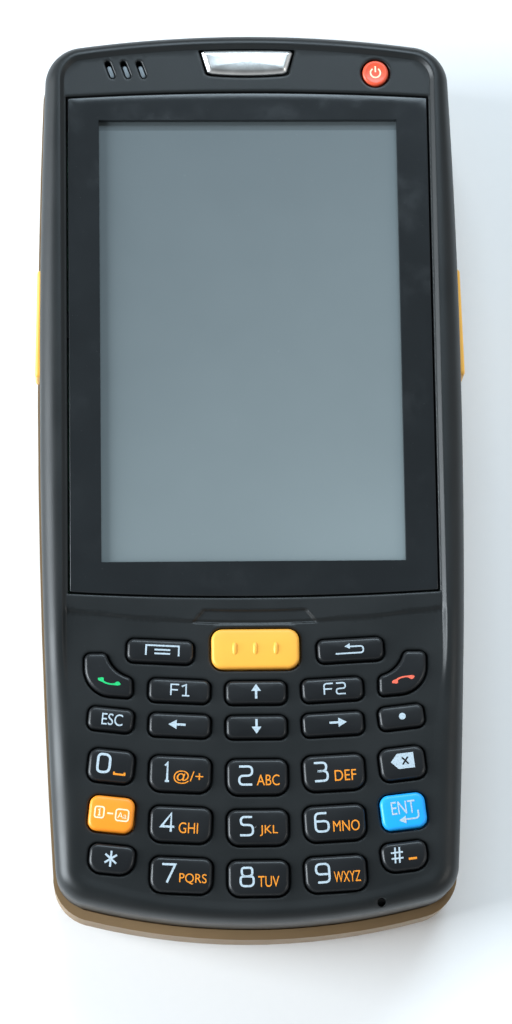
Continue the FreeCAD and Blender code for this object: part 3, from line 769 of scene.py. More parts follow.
@dataclass
class KeyPlan:
    """One key's plan: its outline about its own middle, and where and how it lies.

    Lengths are in millimetres and the tilt is in degrees; foot is what the lower left and lower right
    corners have over the radius of the upper ones.
    """

    node: str
    wide: float
    high: float
    radius: float
    tilt: float = 0.0
    finish: Finish = Finish.KEY
    slot: str = "key_black"
    foot: tuple[float, float] = (0.0, 0.0)

    def middle(self) -> Array:
        """The key's middle in the plan, from its CAD box."""
        return middle(self.node)[:2]

    def outline(self) -> Array:
        """The key's outline in the row frame.

        Returns:
            The closed path, a rounded rectangle turned by the tilt.
        """
        low_left, low_right = (self.radius + more for more in self.foot)
        path = rounded(self.wide, self.high, [low_left, low_right, self.radius, self.radius])
        return turned(path, self.tilt, *self.middle())


@dataclass
class CallPlan(KeyPlan):
    """A call key's plan: an L with a concave inner side, drawn from its outer top corner.

    Each knot is a point, measured from the key's box corner at the outer top, with the radius of the arc
    that leads on from it (0 for a straight line, negative for a hollow).
    """

    side: int = 1
    knots: tuple[tuple[float, float, float], ...] = (
        (0.0, -1.0, 1.0), (-1.0, 0.0, 0.0), (-2.9, 0.0, 0.9), (-3.7, -0.7, -5.0), (-6.9, -3.9, 1.0),
        (-7.7, -5.0, 0.0), (-7.7, -6.4, 0.8), (-6.9, -7.2, 0.0), (-4.6, -7.0, 4.6), (0.0, -2.6, 0.0))
    flange: float = 0.5
    tight: float = 2.0

    def outline(self) -> Array:
        """The L in the row frame, anticlockwise.

        Returns:
            The closed path: arcs of 6 points where they are tight and 9 where they are wide.
        """
        low, high = box_of(self.node)
        corner = np.array([high[0] - self.flange if self.side > 0 else low[0] + self.flange,
                           high[1] - self.flange])
        parts = []
        for (x, y, radius), (*end, _) in zip(self.knots, self.knots[1:] + self.knots[:1]):
            steps = 9 if abs(radius) > self.tight else 6
            parts.append(bend((x, y), end, radius, steps) if radius else run((x, y), end, 2))
        path = np.vstack(parts)
        if self.side < 0:
            path = (path * [-1, 1])[::-1]
        return path + corner


def key_plans() -> list[KeyPlan]:
    """Every key's plan, row by row.

    Returns:
        The 28 plans.
    """
    plans = [
        KeyPlan("scan_key", 14.3, 6.5, 1.8, 0.0, Finish.SCAN, "scan_yellow"),
        KeyPlan("key_menu", 10.75, 3.7, 1.1, -3.0), KeyPlan("key_back", 10.75, 3.7, 1.1, 3.0),
        CallPlan("key_call", 0, 0, 0, side=-1), CallPlan("key_end", 0, 0, 0, side=1),
        KeyPlan("key_up", 9.8, 3.7, 1.1), KeyPlan("key_down", 9.8, 3.7, 1.1),
        KeyPlan("key_esc", 7.3, 3.7, 1.1, -6.5), KeyPlan("key_dot", 7.3, 3.7, 1.1, 6.5),
        KeyPlan("key_0", 7.3, 5.25, 1.5, -6.5), KeyPlan("key_backspace", 7.3, 5.25, 1.5, 6.5),
        KeyPlan("key_shift", 7.3, 5.7, 1.5, -6.5, Finish.ORANGE, "shift_orange"),
        KeyPlan("key_enter", 7.3, 5.7, 1.5, 6.5, Finish.BLUE, "enter_blue"),
        KeyPlan("key_star", 7.3, 4.6, 1.3, -6.5, foot=(0.7, 1.0)),
        KeyPlan("key_hash", 7.3, 4.6, 1.3, 6.5, foot=(0.9, 0.9))]
    plans += [KeyPlan(f"key_{name}", 9.9, 3.7, 1.1, tilt)
              for name, tilt in (("f1", -3.0), ("f2", 3.0), ("left", -3.0), ("right", 3.0))]
    plans += [KeyPlan(f"key_{number}", 9.9 if number % 3 != 2 else 9.8, 5.7, 1.45,
                      (-3.0, 0.0, 3.0)[(number - 1) % 3], foot=(0.5, 0.4)) for number in range(1, 10)]
    return plans


# ---------------------------------------------------------------- front shell


@dataclass
class FrontShell:
    """The front housing: a rounded rim round a sunk face, with openings for keys, panel and ports.

    Lengths are in millimetres.
    """

    corner_x: float = 28.15
    corner_drop: float = 70.56
    side_x: float = 32.7
    side_drop: float = 65.1
    top_side_x: float = 33.95
    top_side_y: float = 66.9
    top_x: float = 28.1
    top_y: float = 73.37
    low_radius: float = 6.0
    top_radius: float = 6.5
    side_arc: float = 1350.0
    low_arc: float = 112.0
    top_arc: float = 205.0
    face: float = 27.0
    dish: float = 0.32
    under: float = 24.6
    seam: float = 14.7
    wall: float = 1.6
    crease: float = 31.5
    gap: float = 0.25
    dish_edge: float = -25.0
    dish_bow: float = 0.00237
    step_wide: float = 0.85
    edge_round: float = 0.3
    rise: float = 0.6
    low_rise: float = -0.24
    low_step: float = 1.5
    fall: float = 3.4
    samples: int = 760
    arc_steps: int = 160
    seam_round: float = 0.3
    seam_in: float = 0.25
    wall_top: float = 23.9
    square: float = 0.92
    smooth: int = 21
    grid_pitch: float = 1.1
    fine_pitch: float = 0.14
    clear: float = 0.85
    mic_bore: float = 1.3
    mic_half: float = 1.25
    mic_reach: float = 0.85
    flange: float = 0.75
    pitch: float = 0.38
    mic_drop: float = 2.0
    mic_radius: float = 0.68
    holes: list[Array] = field(default_factory=list)

    def side_line(self) -> Array:
        """The outline from above, anticlockwise from the lower left, evenly spaced.

        Returns:
            The closed path of eight arcs.
        """
        c, d = (self.corner_x, -self.corner_drop), (self.side_x, -self.side_drop)
        b, a = (self.top_side_x, self.top_side_y), (self.top_x, self.top_y)
        flip = (-1, 1)
        ends = [(np.multiply(c, flip), c, self.low_arc), (c, d, self.low_radius), (d, b, self.side_arc),
                (b, a, self.top_radius), (a, np.multiply(a, flip), self.top_arc),
                (np.multiply(a, flip), np.multiply(b, flip), self.top_radius),
                (np.multiply(b, flip), np.multiply(d, flip), self.side_arc),
                (np.multiply(d, flip), np.multiply(c, flip), self.low_radius)]
        path = even(np.vstack([bend(*end, self.arc_steps) for end in ends]), self.samples)
        return self.snapped(path)

    def ports(self) -> list[tuple[int, Array, Array]]:
        """The openings in the wall, from the CAD boxes.

        Returns:
            For each opening, which axis its wall faces and its lowest and highest corner.
        """
        cuts = []
        for node in ("left_trigger", "right_trigger", "port_cover", "scan_window"):
            low, high = box_of(node)
            hidden = np.array([0, self.flange, -0.1]) if "trigger" in node else np.zeros(3)
            cuts.append((1 if node == "scan_window" else 0, low + hidden, high - hidden))
        return cuts

    def snapped(self, path: Array) -> Array:
        """Move the nearest samples onto the ends of the wall's openings.

        Args:
            path: the outline.

        Returns:
            The outline with those samples moved along it.
        """
        path = path.copy()
        for axis, low, high in self.ports():
            along = 1 - axis
            side = np.sign(low[axis] + high[axis])
            for end in (low[along], high[along]):
                here = np.where(np.sign(path[:, axis]) == side, np.abs(path[:, along] - end), 99)
                far = np.abs(path[:, axis]) > 20 if axis == 0 else path[:, 1] > 60
                index = int(np.argmin(np.where(far, here, 99)))
                path[index, along] = end
        return path

    def inset(self, path: Array) -> Array:
        """How far inside the outline the crease runs, by the height up the case.

        Straight interpolation between stations, smoothed with a bell along the outline.

        Args:
            path: the outline.

        Returns:
            The distance for each of its points.
        """
        up = np.array([-74.16, -72.6, -70.56, -67.0, -60.0, -45.0, -38.0])
        deep = np.array([2.0, 2.2, 2.8, 3.3, 3.8, 3.65, 3.3])
        side = np.abs(path[:, 0]) - self.crease
        lower = np.interp(path[:, 1], up, deep)
        mixed = lower + (side - lower) * step(path[:, 1], -42.0, -27.0)
        top = np.interp(path[:, 1], [66.0, 70.5, 73.37, 75.3], [2.45, 2.35, 1.9, 1.9])
        mixed = np.where(path[:, 1] > 66.0, top, mixed)
        bell = np.hanning(self.smooth + 2)
        ring = np.concatenate([mixed[-self.smooth:], mixed, mixed[:self.smooth]])
        return np.convolve(ring, bell[1:-1] / bell.sum(), "same")[self.smooth:-self.smooth]

    def height(self, points: Array) -> Array:
        """Height of the sunk face: level above the keypad's curved edge, a dish below it.

        The dish's edge is a soft step down across 0.6 mm; a finger notch dips above the middle key.

        Args:
            points: n by 2 plan points.

        Returns:
            n heights.
        """
        x, y = points[:, 0], points[:, 1]
        edge = self.dish_edge + self.dish_bow * x ** 2
        level = self.face - self.dish * (1 - step(y, edge - 0.45, edge + 0.15))
        half = 8.4 + (edge + 1.7 - y) * 0.8
        notch = step(half - np.abs(x), -0.3, 0.35) * step(edge + 1.85 - y, -0.1, 0.3)
        notch = notch * step(y, edge - 0.6, edge - 0.1)
        return level - 0.42 * notch

    def openings(self) -> list[Array]:
        """Every hole through the face, anticlockwise, with its gap.

        Returns:
            The closed paths, evenly spaced.
        """
        rings = []
        for plan in key_plans():
            path = plan.outline()
            rings.append(path + outward(path) * self.gap)
        rings.append(TouchPanel().outline(self.gap))
        rings.append(PowerButton().hole())
        rings += Earpiece().slots()
        rings.append(Badge().recess())
        return [even(ring, int(length_of(ring) / self.pitch)) for ring in rings]

    def mic_at(self) -> Array:
        """The middle of the microphone's hole."""
        return middle("microphone")[:2] - [0, self.mic_drop]

    def pierce(self, mesh: Mesh, block: Array) -> None:
        """Fill a cut-out block of the rim again, with the microphone's hole in it.

        Heights inside the block are weighted by one over the fourth power of the distance to its points.

        Args:
            mesh: mesh to add to.
            block: the block's points, rows by columns by 3.
        """
        loop = np.vstack([block[0, :-1], block[:-1, -1], block[-1, :0:-1], block[:0:-1, 0]])
        known = block.reshape(-1, 3)

        def level(plan: Array) -> Array:
            """Height of the rim over plan points."""
            weight = (((plan[:, None] - known[None, :, :2]) ** 2).sum(2) + 1e-6) ** -2
            return (weight * known[:, 2]).sum(1) / weight.sum(1)

        rings = []
        for grow, fall in ((0.0, 0.16), (0.06, 0.05), (0.16, 0.0)):
            ring = circle(self.mic_at(), self.mic_radius + grow, 24)
            rings.append(lift(ring, level(ring) - fall))
        points = np.vstack([loop, *rings])
        plan, faces = filled([loop[:, :2], rings[0][:, :2]], np.vstack(rings[1:])[:, :2])
        nearest = np.argmin(((plan[:, None] - points[None, :, :2]) ** 2).sum(2), 1)
        mesh.patch(lift(plan, points[nearest, 2]), faces)
        foot = rings[0] - [0, 0, self.mic_bore]
        mesh.grid([rings[0], foot])
        mesh.fan(foot, foot.mean(0))

    def scattered(self, outer: Array) -> Array:
        """Points to spread the face's triangles between: rings round each hole, and three grids.

        Args:
            outer: the face's outline.

        Returns:
            The points that lie clear of the outline and of every hole.
        """
        rings = np.vstack([hole + outward(hole) * gap for hole in self.holes
                           for gap in (0.07, 0.17, self.edge_round, 0.55)])
        x, y = np.meshgrid(np.arange(-33, 33.1, self.grid_pitch), np.arange(-74, 75.1, self.grid_pitch))
        spread = [np.stack([x.ravel(), y.ravel()], 1)]
        x, y = np.meshgrid(np.arange(-30, 30.1, 1.0), np.arange(-1.2, 2.7, self.fine_pitch))
        bowed = y.ravel() + self.dish_edge + self.dish_bow * x.ravel() ** 2
        spread.append(np.stack([x.ravel(), bowed], 1))
        x, y = np.meshgrid(np.arange(-10.6, 10.7, 0.3), np.arange(-0.8, 2.4, self.fine_pitch))
        spread.append(np.stack([x.ravel(), y.ravel() + self.dish_edge], 1))
        free = np.vstack(spread)
        return np.vstack([self.clear_of_holes(rings[gap_to(rings, outer) < -0.04], 0.05),
                          self.clear_of_holes(free[gap_to(free, outer) < -0.4], self.clear)])

    def clear_of_holes(self, points: Array, margin: float) -> Array:
        """Leave out the points that are nearer to a hole than a margin.

        Args:
            points: n by 2 points.
            margin: the least distance.

        Returns:
            The points that are kept.
        """
        for hole in self.holes:
            close = ((points > hole.min(0) - 0.9) & (points < hole.max(0) + 0.9)).all(1)
            close[close] = gap_to(points[close], hole) < margin
            points = points[~close]
        return points

    def central(self, mesh: Mesh, ring: Array, top: bool) -> None:
        """Fill the inside of a ring round the holes, with triangles between scattered points.

        Args:
            mesh: mesh to add to.
            ring: outer ring, n by 3.
            top: whether this is the upper face, with rounded hole edges, or the underside.
        """
        outer = ring[:, :2]
        plan, faces = filled([outer, *self.holes], self.scattered(outer) if top else np.zeros((0, 2)))
        if not top:
            mesh.patch(lift(plan, self.under), faces[:, ::-1])
            return
        deep = np.full(len(plan), 9.0)
        for hole in self.holes:
            inside = ((plan > hole.min(0) - 1) & (plan < hole.max(0) + 1)).all(1)
            deep[inside] = np.minimum(deep[inside], np.abs(gap_to(plan[inside], hole)))
        level = self.height(plan) - self.drop(deep)
        rim = np.abs(gap_to(plan, outer)) < 1e-4
        level[rim] = ring[np.argmin(((plan[rim][:, None] - outer[None]) ** 2).sum(2), 1), 2]
        mesh.patch(lift(plan, level), faces)

    def drop(self, distance: Array) -> Array:
        """Fall of a rounded edge: radius less the root of radius squared less what is left squared."""
        left = np.clip(self.edge_round - distance, 0, self.edge_round)
        return self.edge_round - np.sqrt(self.edge_round ** 2 - left ** 2)

    def build(self) -> bpy.types.Object:
        """Build the front housing.

        Returns:
            The piece.
        """
        self.holes = self.openings()
        path = self.side_line()
        normal = outward(path)
        deep = self.inset(path)
        mesh = Mesh()
        wide = self.low_step + (self.step_wide - self.low_step) * step(path[:, 1], -46.0, -30.0)
        inner = path - normal * (deep + wide)[:, None]
        floor = self.height(inner)
        climb = step(path[:, 1], -40.0, -22.0)
        crown = self.face + self.low_rise + (self.rise - self.low_rise) * climb
        rows = [lift(path - normal * self.wall, self.under), lift(path - normal * self.wall, self.seam),
                lift(path - normal * self.seam_in, self.seam), lift(path, self.seam + self.seam_round)]
        levels = sorted({round(float(z), 4) for _, low, high in self.ports() for z in (low[2], high[2])})
        rows += [lift(path, level) for level in levels if level < self.wall_top]
        shelf = len(rows)
        for angle in np.linspace(0, math.pi / 2, 15):
            share_in = 1 - math.cos(angle) ** self.square
            share_up = math.sin(angle) ** self.square
            rows.append(lift(path - normal * (deep * share_in)[:, None],
                             (crown - self.fall) + self.fall * share_up))
        for share in (0.15, 0.4, 0.7, 0.9, 1.0):
            across = deep + wide * share
            level = crown - (crown - floor) * step(share, 0.0, 1.0)
            rows.append(lift(path - normal * across[:, None], level))

        ends = []

        def open_wall(row: Array, column: Array) -> Array:
            """Whether a wall face lies in one of the openings.

            Args:
                row: the faces' row numbers.
                column: their column numbers.

            Returns:
                True for each face that is left out.
            """
            mid = (path + np.roll(path, -1, 0)) / 2
            left_out = np.zeros(row.shape, bool)
            for axis, low, high in self.ports():
                along = 1 - axis
                side = np.sign(low[axis] + high[axis])
                across = ((mid[:, along] > low[along]) & (mid[:, along] < high[along])
                          & (np.sign(mid[:, axis]) == side) & (np.abs(mid[:, axis]) > 20))
                base = [3 + number for number, row_points in enumerate(rows[3:shelf])
                        if low[2] - 1e-3 <= row_points[0, 2] < high[2] - 1e-3]
                left_out |= across[column] & np.isin(row, base)
                ends.append((across, low[2], high[2]))
            return left_out

        at = self.mic_at()
        across = np.where((np.abs(path[:, 0] - at[0]) < self.mic_half) & (path[:, 1] < -60))[0]
        past = np.stack(rows)[:, across[len(across) // 2], :2] - at
        away = np.hypot(*past.T) * np.sign(past[:, 1])
        first = max(number for number in range(shelf, len(rows)) if away[number] < -self.mic_reach)
        last = min(number for number in range(first, len(rows)) if away[number] > self.mic_reach)

        def left_open(row: Array, column: Array) -> Array:
            """Whether a face is left out, for an opening or for the microphone's hole."""
            bored = (row >= first) & (row < last) & (column >= across[0]) & (column < across[-1])
            return open_wall(row, column) | bored

        mesh.grid(rows, skip=left_open)
        self.pierce(mesh, np.stack(rows)[first:last + 1, across[0]:across[-1] + 1])
        for across, low, high in ends:
            index = np.where(across)[0]
            if len(index) and (0 in index and len(path) - 1 in index):
                index = np.roll(index, -int(np.argmax(np.diff(index) > 1)) - 1)
            strip = np.append(index, (index[-1] + 1) % len(path))
            self.jambs(mesh, path[strip], normal[strip], low, high)
        self.central(mesh, rows[-1], True)
        self.central(mesh, rows[0], False)
        for hole in self.holes:
            lip = lift(hole, self.height(hole) - self.edge_round)
            mesh.grid([lip, lift(hole, self.under)])
        return mesh.build("front_shell", [Finish.FRONT], "case", "front_plastic", ["front_cover"], 50.0)

    def jambs(self, mesh: Mesh, path: Array, normal: Array, low: float, high: float) -> None:
        """Line a wall's opening: a frame of four strips from the outside to the inside.

        Args:
            mesh: mesh to add to.
            path: the wall's outline across the opening.
            normal: its normals.
            low: the opening's floor.
            high: the opening's roof.
        """
        inside = path - normal * (self.wall - 0.02)
        ring = np.vstack([lift(path, low), lift(path, high)[::-1]])
        back = np.vstack([lift(inside, low), lift(inside, high)[::-1]])
        mesh.grid([ring, back])


# ---------------------------------------------------------------- keys


@dataclass
class KeyCap:
    """A keypad key: a domed cap with a rounded edge over a flange.

    Lengths are in millimetres.
    """

    plan: KeyPlan
    edge: float = 0.55
    crown: float = 0.2
    flange: float = 0.5
    flange_high: float = 24.3
    stem: float = 1.0
    dot_at: tuple[float, float] = (-0.3, -0.15)
    dot_radius: float = 0.3
    dot_high: float = 0.24
    dot_sunk: float = 0.04
    rib_pitch: float = 3.35
    rib_size: tuple[float, float] = (0.45, 1.15)
    rib_high: float = 0.42
    rib_sunk: float = 0.2

    def surface(self, points: Array) -> Array:
        """Height of the domed cap: its top less the crown times the mean of both squared ratios.

        Args:
            points: n by 2 plan points.

        Returns:
            n heights.
        """
        path = self.plan.outline()
        centre = path.mean(0)
        ratio = turned(points - centre, -self.plan.tilt) / turned(path - centre, -self.plan.tilt).max(0)
        return self.top() - self.crown * (ratio ** 2).sum(1) / 2

    def top(self) -> float:
        """Height of the middle of the cap."""
        return float(box_of(self.plan.node)[1][2]) - (0.25 if self.plan.node == "scan_key" else 0.0)

    def build(self) -> bpy.types.Object:
        """Build the cap: rows from the flange's underside up the wall, over the edge to the middle.

        Returns:
            The piece.
        """
        path = self.plan.outline()
        normal = outward(path)
        low = box_of(self.plan.node)[0][2] + self.stem
        top = self.top()
        centre = path.mean(0)
        mesh = Mesh()
        wide = path + normal * self.flange
        rows = [lift(wide, low), lift(wide, self.flange_high), lift(path, self.flange_high)]
        for angle in np.linspace(0, math.pi / 2, 8):
            ring = path - normal * self.edge * (1 - math.cos(angle))
            rows.append(lift(ring, self.surface(ring) - self.edge * (1 - math.sin(angle))))
        last = path - normal * self.edge
        for share in (0.84, 0.66, 0.46, 0.24):
            ring = centre + (last - centre) * share
            rows.append(lift(ring, self.surface(ring)))
        mesh.grid(rows)
        mesh.fan(rows[-1], (*centre, top))
        mesh.fan(lift(wide, low)[::-1], (*centre, low))
        if self.plan.node == "scan_key":
            self.ribs(mesh, centre, top)
        if self.plan.node == "key_5":
            self.dot(mesh, centre + self.dot_at)
        return mesh.build(f"cap_{self.plan.node}", [self.plan.finish], self.plan.node, self.plan.slot,
                          [self.plan.node], 60.0)

    def dot(self, mesh: Mesh, at: Array) -> None:
        """The finger's locating dot on the middle digit: half an ellipsoid.

        Args:
            mesh: mesh to add to.
            at: its middle in the plan.
        """
        level = self.surface(at[None])[0] - self.dot_sunk
        rows = []
        for angle in np.linspace(0, math.pi / 2 * 0.97, 6):
            ring = circle(at, self.dot_radius * math.cos(angle), 20)
            rows.append(lift(ring, level + self.dot_high * math.sin(angle)))
        mesh.grid(rows)
        mesh.fan(rows[-1], (*at, level + self.dot_high))

    def ribs(self, mesh: Mesh, centre: Array, top: float) -> None:
        """Three short upright ribs, each a half ellipsoid drawn out along the key.

        Args:
            mesh: mesh to add to.
            centre: the key's middle in the plan.
            top: the height of its middle.
        """
        turn = np.arange(28) / 28 * 2 * math.pi
        drawn_out = np.sign(np.sin(turn)) * np.abs(np.sin(turn)) ** 0.6
        plan = np.stack([np.cos(turn), drawn_out], 1) * self.rib_size
        foot = top - self.rib_sunk
        for across in (-self.rib_pitch, 0.0, self.rib_pitch):
            rows = []
            for angle in np.linspace(0, math.pi / 2 * 0.97, 7):
                ring = centre + [across, 0] + plan * math.cos(angle)
                rows.append(lift(ring, foot + self.rib_high * math.sin(angle)))
            mesh.grid(rows)
            mesh.fan(rows[-1], (centre[0] + across, centre[1], foot + self.rib_high))


class Glyph(Enum):
    """Legends that are drawn rather than typed, as strokes in a box of 1 by 1."""

    MENU = "menu"
    BACK = "back"
    CALL = "call"
    END = "end"
    UP = "up"
    DOWN = "down"
    LEFT = "left"
    RIGHT = "right"
    DOT = "dot"
    SPACE = "space"
    ERASE = "erase"
    BOXED = "boxed"
    DASH = "dash"
    CROSS = "cross"
    HOOK = "hook"


Line = Sequence[tuple[float, float]]
FIGURES: dict[str, list[Line]] = {
    "0": [((-0.5, 0.0), (-0.5, 0.5), (0.5, 0.5), (0.5, -0.5), (-0.5, -0.5), (-0.5, 0.0))],
    "1": [((-0.5, 0.34), (0.05, 0.5), (0.05, -0.5)), ((-0.45, -0.5), (0.5, -0.5))],
    "2": [((-0.5, 0.5), (0.5, 0.5), (0.5, 0.0), (-0.5, -0.02), (-0.5, -0.5), (0.5, -0.5))],
    "3": [((-0.5, 0.5), (0.42, 0.5), (0.42, 0.04), (-0.3, 0.04)),
          ((-0.3, 0.04), (0.5, 0.04), (0.5, -0.5), (-0.5, -0.5))],
    "4": [((0.24, -0.5), (0.24, 0.5), (-0.5, -0.22), (0.5, -0.22))],
    "5": [((0.44, 0.5), (-0.42, 0.5), (-0.42, 0.06), (0.5, 0.06), (0.5, -0.5), (-0.5, -0.5))],
    "6": [((0.4, 0.5), (-0.5, 0.5), (-0.5, -0.5), (0.5, -0.5), (0.5, 0.06), (-0.46, 0.06))],
    "7": [((-0.5, 0.5), (0.5, 0.5), (-0.1, -0.5))],
    "8": [((0.0, 0.5), (0.4, 0.5), (0.4, 0.03), (-0.4, 0.03), (-0.4, 0.5), (0.0, 0.5)),
          ((0.0, 0.03), (0.5, 0.03), (0.5, -0.5), (-0.5, -0.5), (-0.5, 0.03), (0.0, 0.03))],
    "9": [((-0.4, -0.5), (0.5, -0.5), (0.5, 0.5), (-0.5, 0.5), (-0.5, -0.06), (0.46, -0.06))],
    "F": [((-0.5, -0.5), (-0.5, 0.5), (0.5, 0.5)), ((-0.5, 0.0), (0.36, 0.0))],
    "#": [((-0.22, -0.5), (-0.1, 0.5)), ((0.14, -0.5), (0.26, 0.5)), ((-0.5, 0.17), (0.5, 0.17)),
          ((-0.5, -0.2), (0.5, -0.2))],
    "*": [((0.0, -0.5), (0.0, 0.5)), ((-0.45, -0.27), (0.45, 0.27)), ((-0.45, 0.27), (0.45, -0.27))]}


def soften(line: Array, radius: float) -> Array:
    """Round a line's corners, each with a curve of the second degree between two points beside it.

    Args:
        line: the corners.
        radius: how far from a corner its curve starts, at most 0.48 of the shorter run.

    Returns:
        The rounded line.
    """
    if radius <= 0 or len(line) < 3:
        return line
    closed = bool(np.allclose(line[0], line[-1]))
    out = [line[:1]]
    for before, corner, after in zip(line[:-2], line[1:-1], line[2:]):
        back, ahead = before - corner, after - corner
        reach = min(radius, 0.48 * np.hypot(*back), 0.48 * np.hypot(*ahead))
        a, b = corner + back / np.hypot(*back) * reach, corner + ahead / np.hypot(*ahead) * reach
        t = np.linspace(0, 1, 7)[:, None]
        out.append(a * (1 - t) ** 2 + corner * 2 * t * (1 - t) + b * t ** 2)
    out.append(line[:1] if closed else line[-1:])
    return np.vstack(out)


def stroke(line: Array, width: float) -> list[Array]:
    """Thicken a line into quads with mitred joints.

    Each point's normal is the mean of its two runs' normals over the cosine of half their turn.

    Args:
        line: the line; it closes if its ends meet.
        width: the stroke's width.

    Returns:
        One quad for each run.
    """
    closed = bool(np.allclose(line[0], line[-1]))
    way = np.diff(line, axis=0)
    way /= np.hypot(*way.T)[:, None]
    side = np.stack([-way[:, 1], way[:, 0]], 1)
    before = np.vstack([side[-1:] if closed else side[:1], side])
    after = np.vstack([side, side[:1] if closed else side[-1:]])
    mean = before + after
    mean /= np.maximum((mean ** 2).sum(1) / 2, 0.35)[:, None]
    left, right = line + mean * width / 2, line - mean * width / 2
    return [np.array([left[n], right[n], right[n + 1], left[n + 1]]) for n in range(len(line) - 1)]


def arrow(degrees: float) -> list[Array]:
    """A solid arrow in a box of 1 by 1, turned from pointing up.

    Args:
        degrees: the turn, anticlockwise.

    Returns:
        Its head and its shaft.
    """
    head = np.array([[0.0, 0.5], [-0.42, 0.02], [0.42, 0.02]])
    shaft = np.array([[-0.1, -0.5], [0.1, -0.5], [0.1, 0.06], [-0.1, 0.06]])
    return [turned(part, degrees) for part in (head, shaft)]


def handset(tilt: float) -> list[Array]:
    """A telephone handset: a thin arched bar with a thick pad at each end.

    The bar follows an arc of 104 degrees; its half width grows from 0.06 in the middle to 0.16 near the
    ends.

    Args:
        tilt: its turn, anticlockwise.

    Returns:
        The quads from end to end.
    """
    count = 18
    turn = np.linspace(math.radians(218), math.radians(322), count)
    share = np.abs(np.linspace(-1, 1, count))
    half = 0.06 + 0.1 * step(share, 0.45, 0.8) - 0.05 * step(share, 0.85, 1.0)
    spine = np.stack([np.cos(turn), np.sin(turn)], 1) * 0.62
    spine[:, 1] += 0.5
    across = np.stack([np.cos(turn), np.sin(turn)], 1) * half[:, None]
    outer, inner = spine + across * 0.7, spine - across
    quads = [np.array([outer[n], outer[n + 1], inner[n + 1], inner[n]]) for n in range(count - 1)]
    return [turned(quad, tilt) for quad in quads]


def drawn(what: "str | Glyph") -> tuple[list[Line], list[Array]]:
    """Lines and filled shapes of a drawn legend in a box of 1 by 1 about the origin.

    Args:
        what: a glyph, or a word of figures side by side.

    Returns:
        The lines to be thickened and the filled polygons.
    """
    if isinstance(what, str):
        share = 1 / len(what)
        narrow = share * (0.74 if len(what) > 1 else 1.0)
        return [[(x * narrow + (number + 0.5) * share - 0.5, y) for x, y in line]
                for number, figure in enumerate(what) for line in FIGURES[figure]], []
    circle = np.arange(18) / 18 * 2 * math.pi
    shapes: dict[Glyph, tuple[list[Line], list[Array]]] = {
        Glyph.MENU: ([((-0.5, -0.5), (-0.5, 0.5), (0.5, 0.5), (0.5, -0.5)), ((-0.24, 0.08), (0.24, 0.08)),
                      ((-0.24, -0.3), (0.24, -0.3))], []),
        Glyph.BACK: ([((-0.5, -0.5), (0.5, -0.5), (0.5, 0.22), (-0.1, 0.22))],
                     [np.array([[-0.16, 0.22], [0.02, -0.02], [0.02, 0.5]])]),
        Glyph.CALL: ([], handset(-24.0)), Glyph.END: ([], [part * [1, -1] for part in handset(-24.0)]),
        Glyph.UP: ([], arrow(0)), Glyph.LEFT: ([], arrow(90)),
        Glyph.DOWN: ([], arrow(180)), Glyph.RIGHT: ([], arrow(-90)),
        Glyph.DOT: ([], [np.stack([np.cos(circle), np.sin(circle)], 1) * 0.5]),
        Glyph.SPACE: ([((-0.5, 0.4), (-0.5, -0.4), (0.5, -0.4), (0.5, 0.4))], []),
        Glyph.ERASE: ([], [np.array([[-0.5, 0.0], [-0.2, 0.5], [0.5, 0.5], [0.5, -0.5], [-0.2, -0.5]])]),
        Glyph.BOXED: ([((0.0, -0.5), (0.5, -0.5), (0.5, 0.5), (-0.5, 0.5), (-0.5, -0.5), (0.0, -0.5))], []),
        Glyph.DASH: ([((-0.5, 0.0), (0.5, 0.0))], []),
        Glyph.CROSS: ([((-0.5, -0.5), (0.5, 0.5)), ((-0.5, 0.5), (0.5, -0.5))], []),
        Glyph.HOOK: ([((0.5, 0.5), (0.5, -0.2), (-0.3, -0.2))],
                     [np.array([[-0.5, -0.2], [-0.16, -0.5], [-0.16, 0.1]])]),
    }
    return shapes[what]


@dataclass
class Mark:
    """One printed mark: a typed word, or figures or a glyph drawn with strokes, in a box on a key.

    The box is given by its middle from the key's middle, its width and its height, in millimetres. With
    no stroke width, a word is typed.
    """

    what: "str | Glyph"
    across: float
    up: float
    wide: float
    high: float
    ink: Finish = Finish.WHITE_INK
    stroke: float = 0.0
    soft: float = 0.0

    def shapes(self) -> list[tuple[Array, Array]]:
        """The mark's flat shapes on the key.

        Returns:
            Points and triangles of each shape.
        """
        if isinstance(self.what, str) and self.stroke == 0.0:
            points, faces = typed(self.what)
            return [(points * [self.wide, self.high], faces)]
        lines, fills = drawn(self.what)
        box = np.array([self.wide, self.high]) - self.stroke
        paths = [soften(np.array(line) * box, self.soft) for line in lines]
        pieces = [quad for path in paths for quad in stroke(path, self.stroke)]
        pieces += [fill * [self.wide, self.high] for fill in fills]
        return [(np.vstack([piece, piece.mean(0)]), fan_of(len(piece))) for piece in pieces]


def typed(word: str) -> tuple[Array, Array]:
    """Turn a word into triangles in a box of 1 by 1.

    Args:
        word: the word.

    Returns:
        The corner points and the triangles.
    """
    curve = bpy.data.curves.new("type", "FONT")
    curve.body = word
    curve.size = 10
    curve.resolution_u = 6
    carrier = bpy.data.objects.new("type", curve)
    bpy.context.scene.collection.objects.link(carrier)
    bpy.context.view_layer.update()
    shape = carrier.evaluated_get(bpy.context.evaluated_depsgraph_get()).to_mesh()
    shape.calc_loop_triangles()
    points = np.zeros(len(shape.vertices) * 3)
    shape.vertices.foreach_get("co", points)
    faces = np.zeros(len(shape.loop_triangles) * 3, np.int32)
    shape.loop_triangles.foreach_get("vertices", faces)
    carrier.to_mesh_clear()
    bpy.data.objects.remove(carrier)
    bpy.data.curves.remove(curve)
    points = points.reshape(-1, 3)[:, :2]
    low, high = points.min(0), points.max(0)
    return (points - (low + high) / 2) / (high - low), faces.reshape(-1, 3)


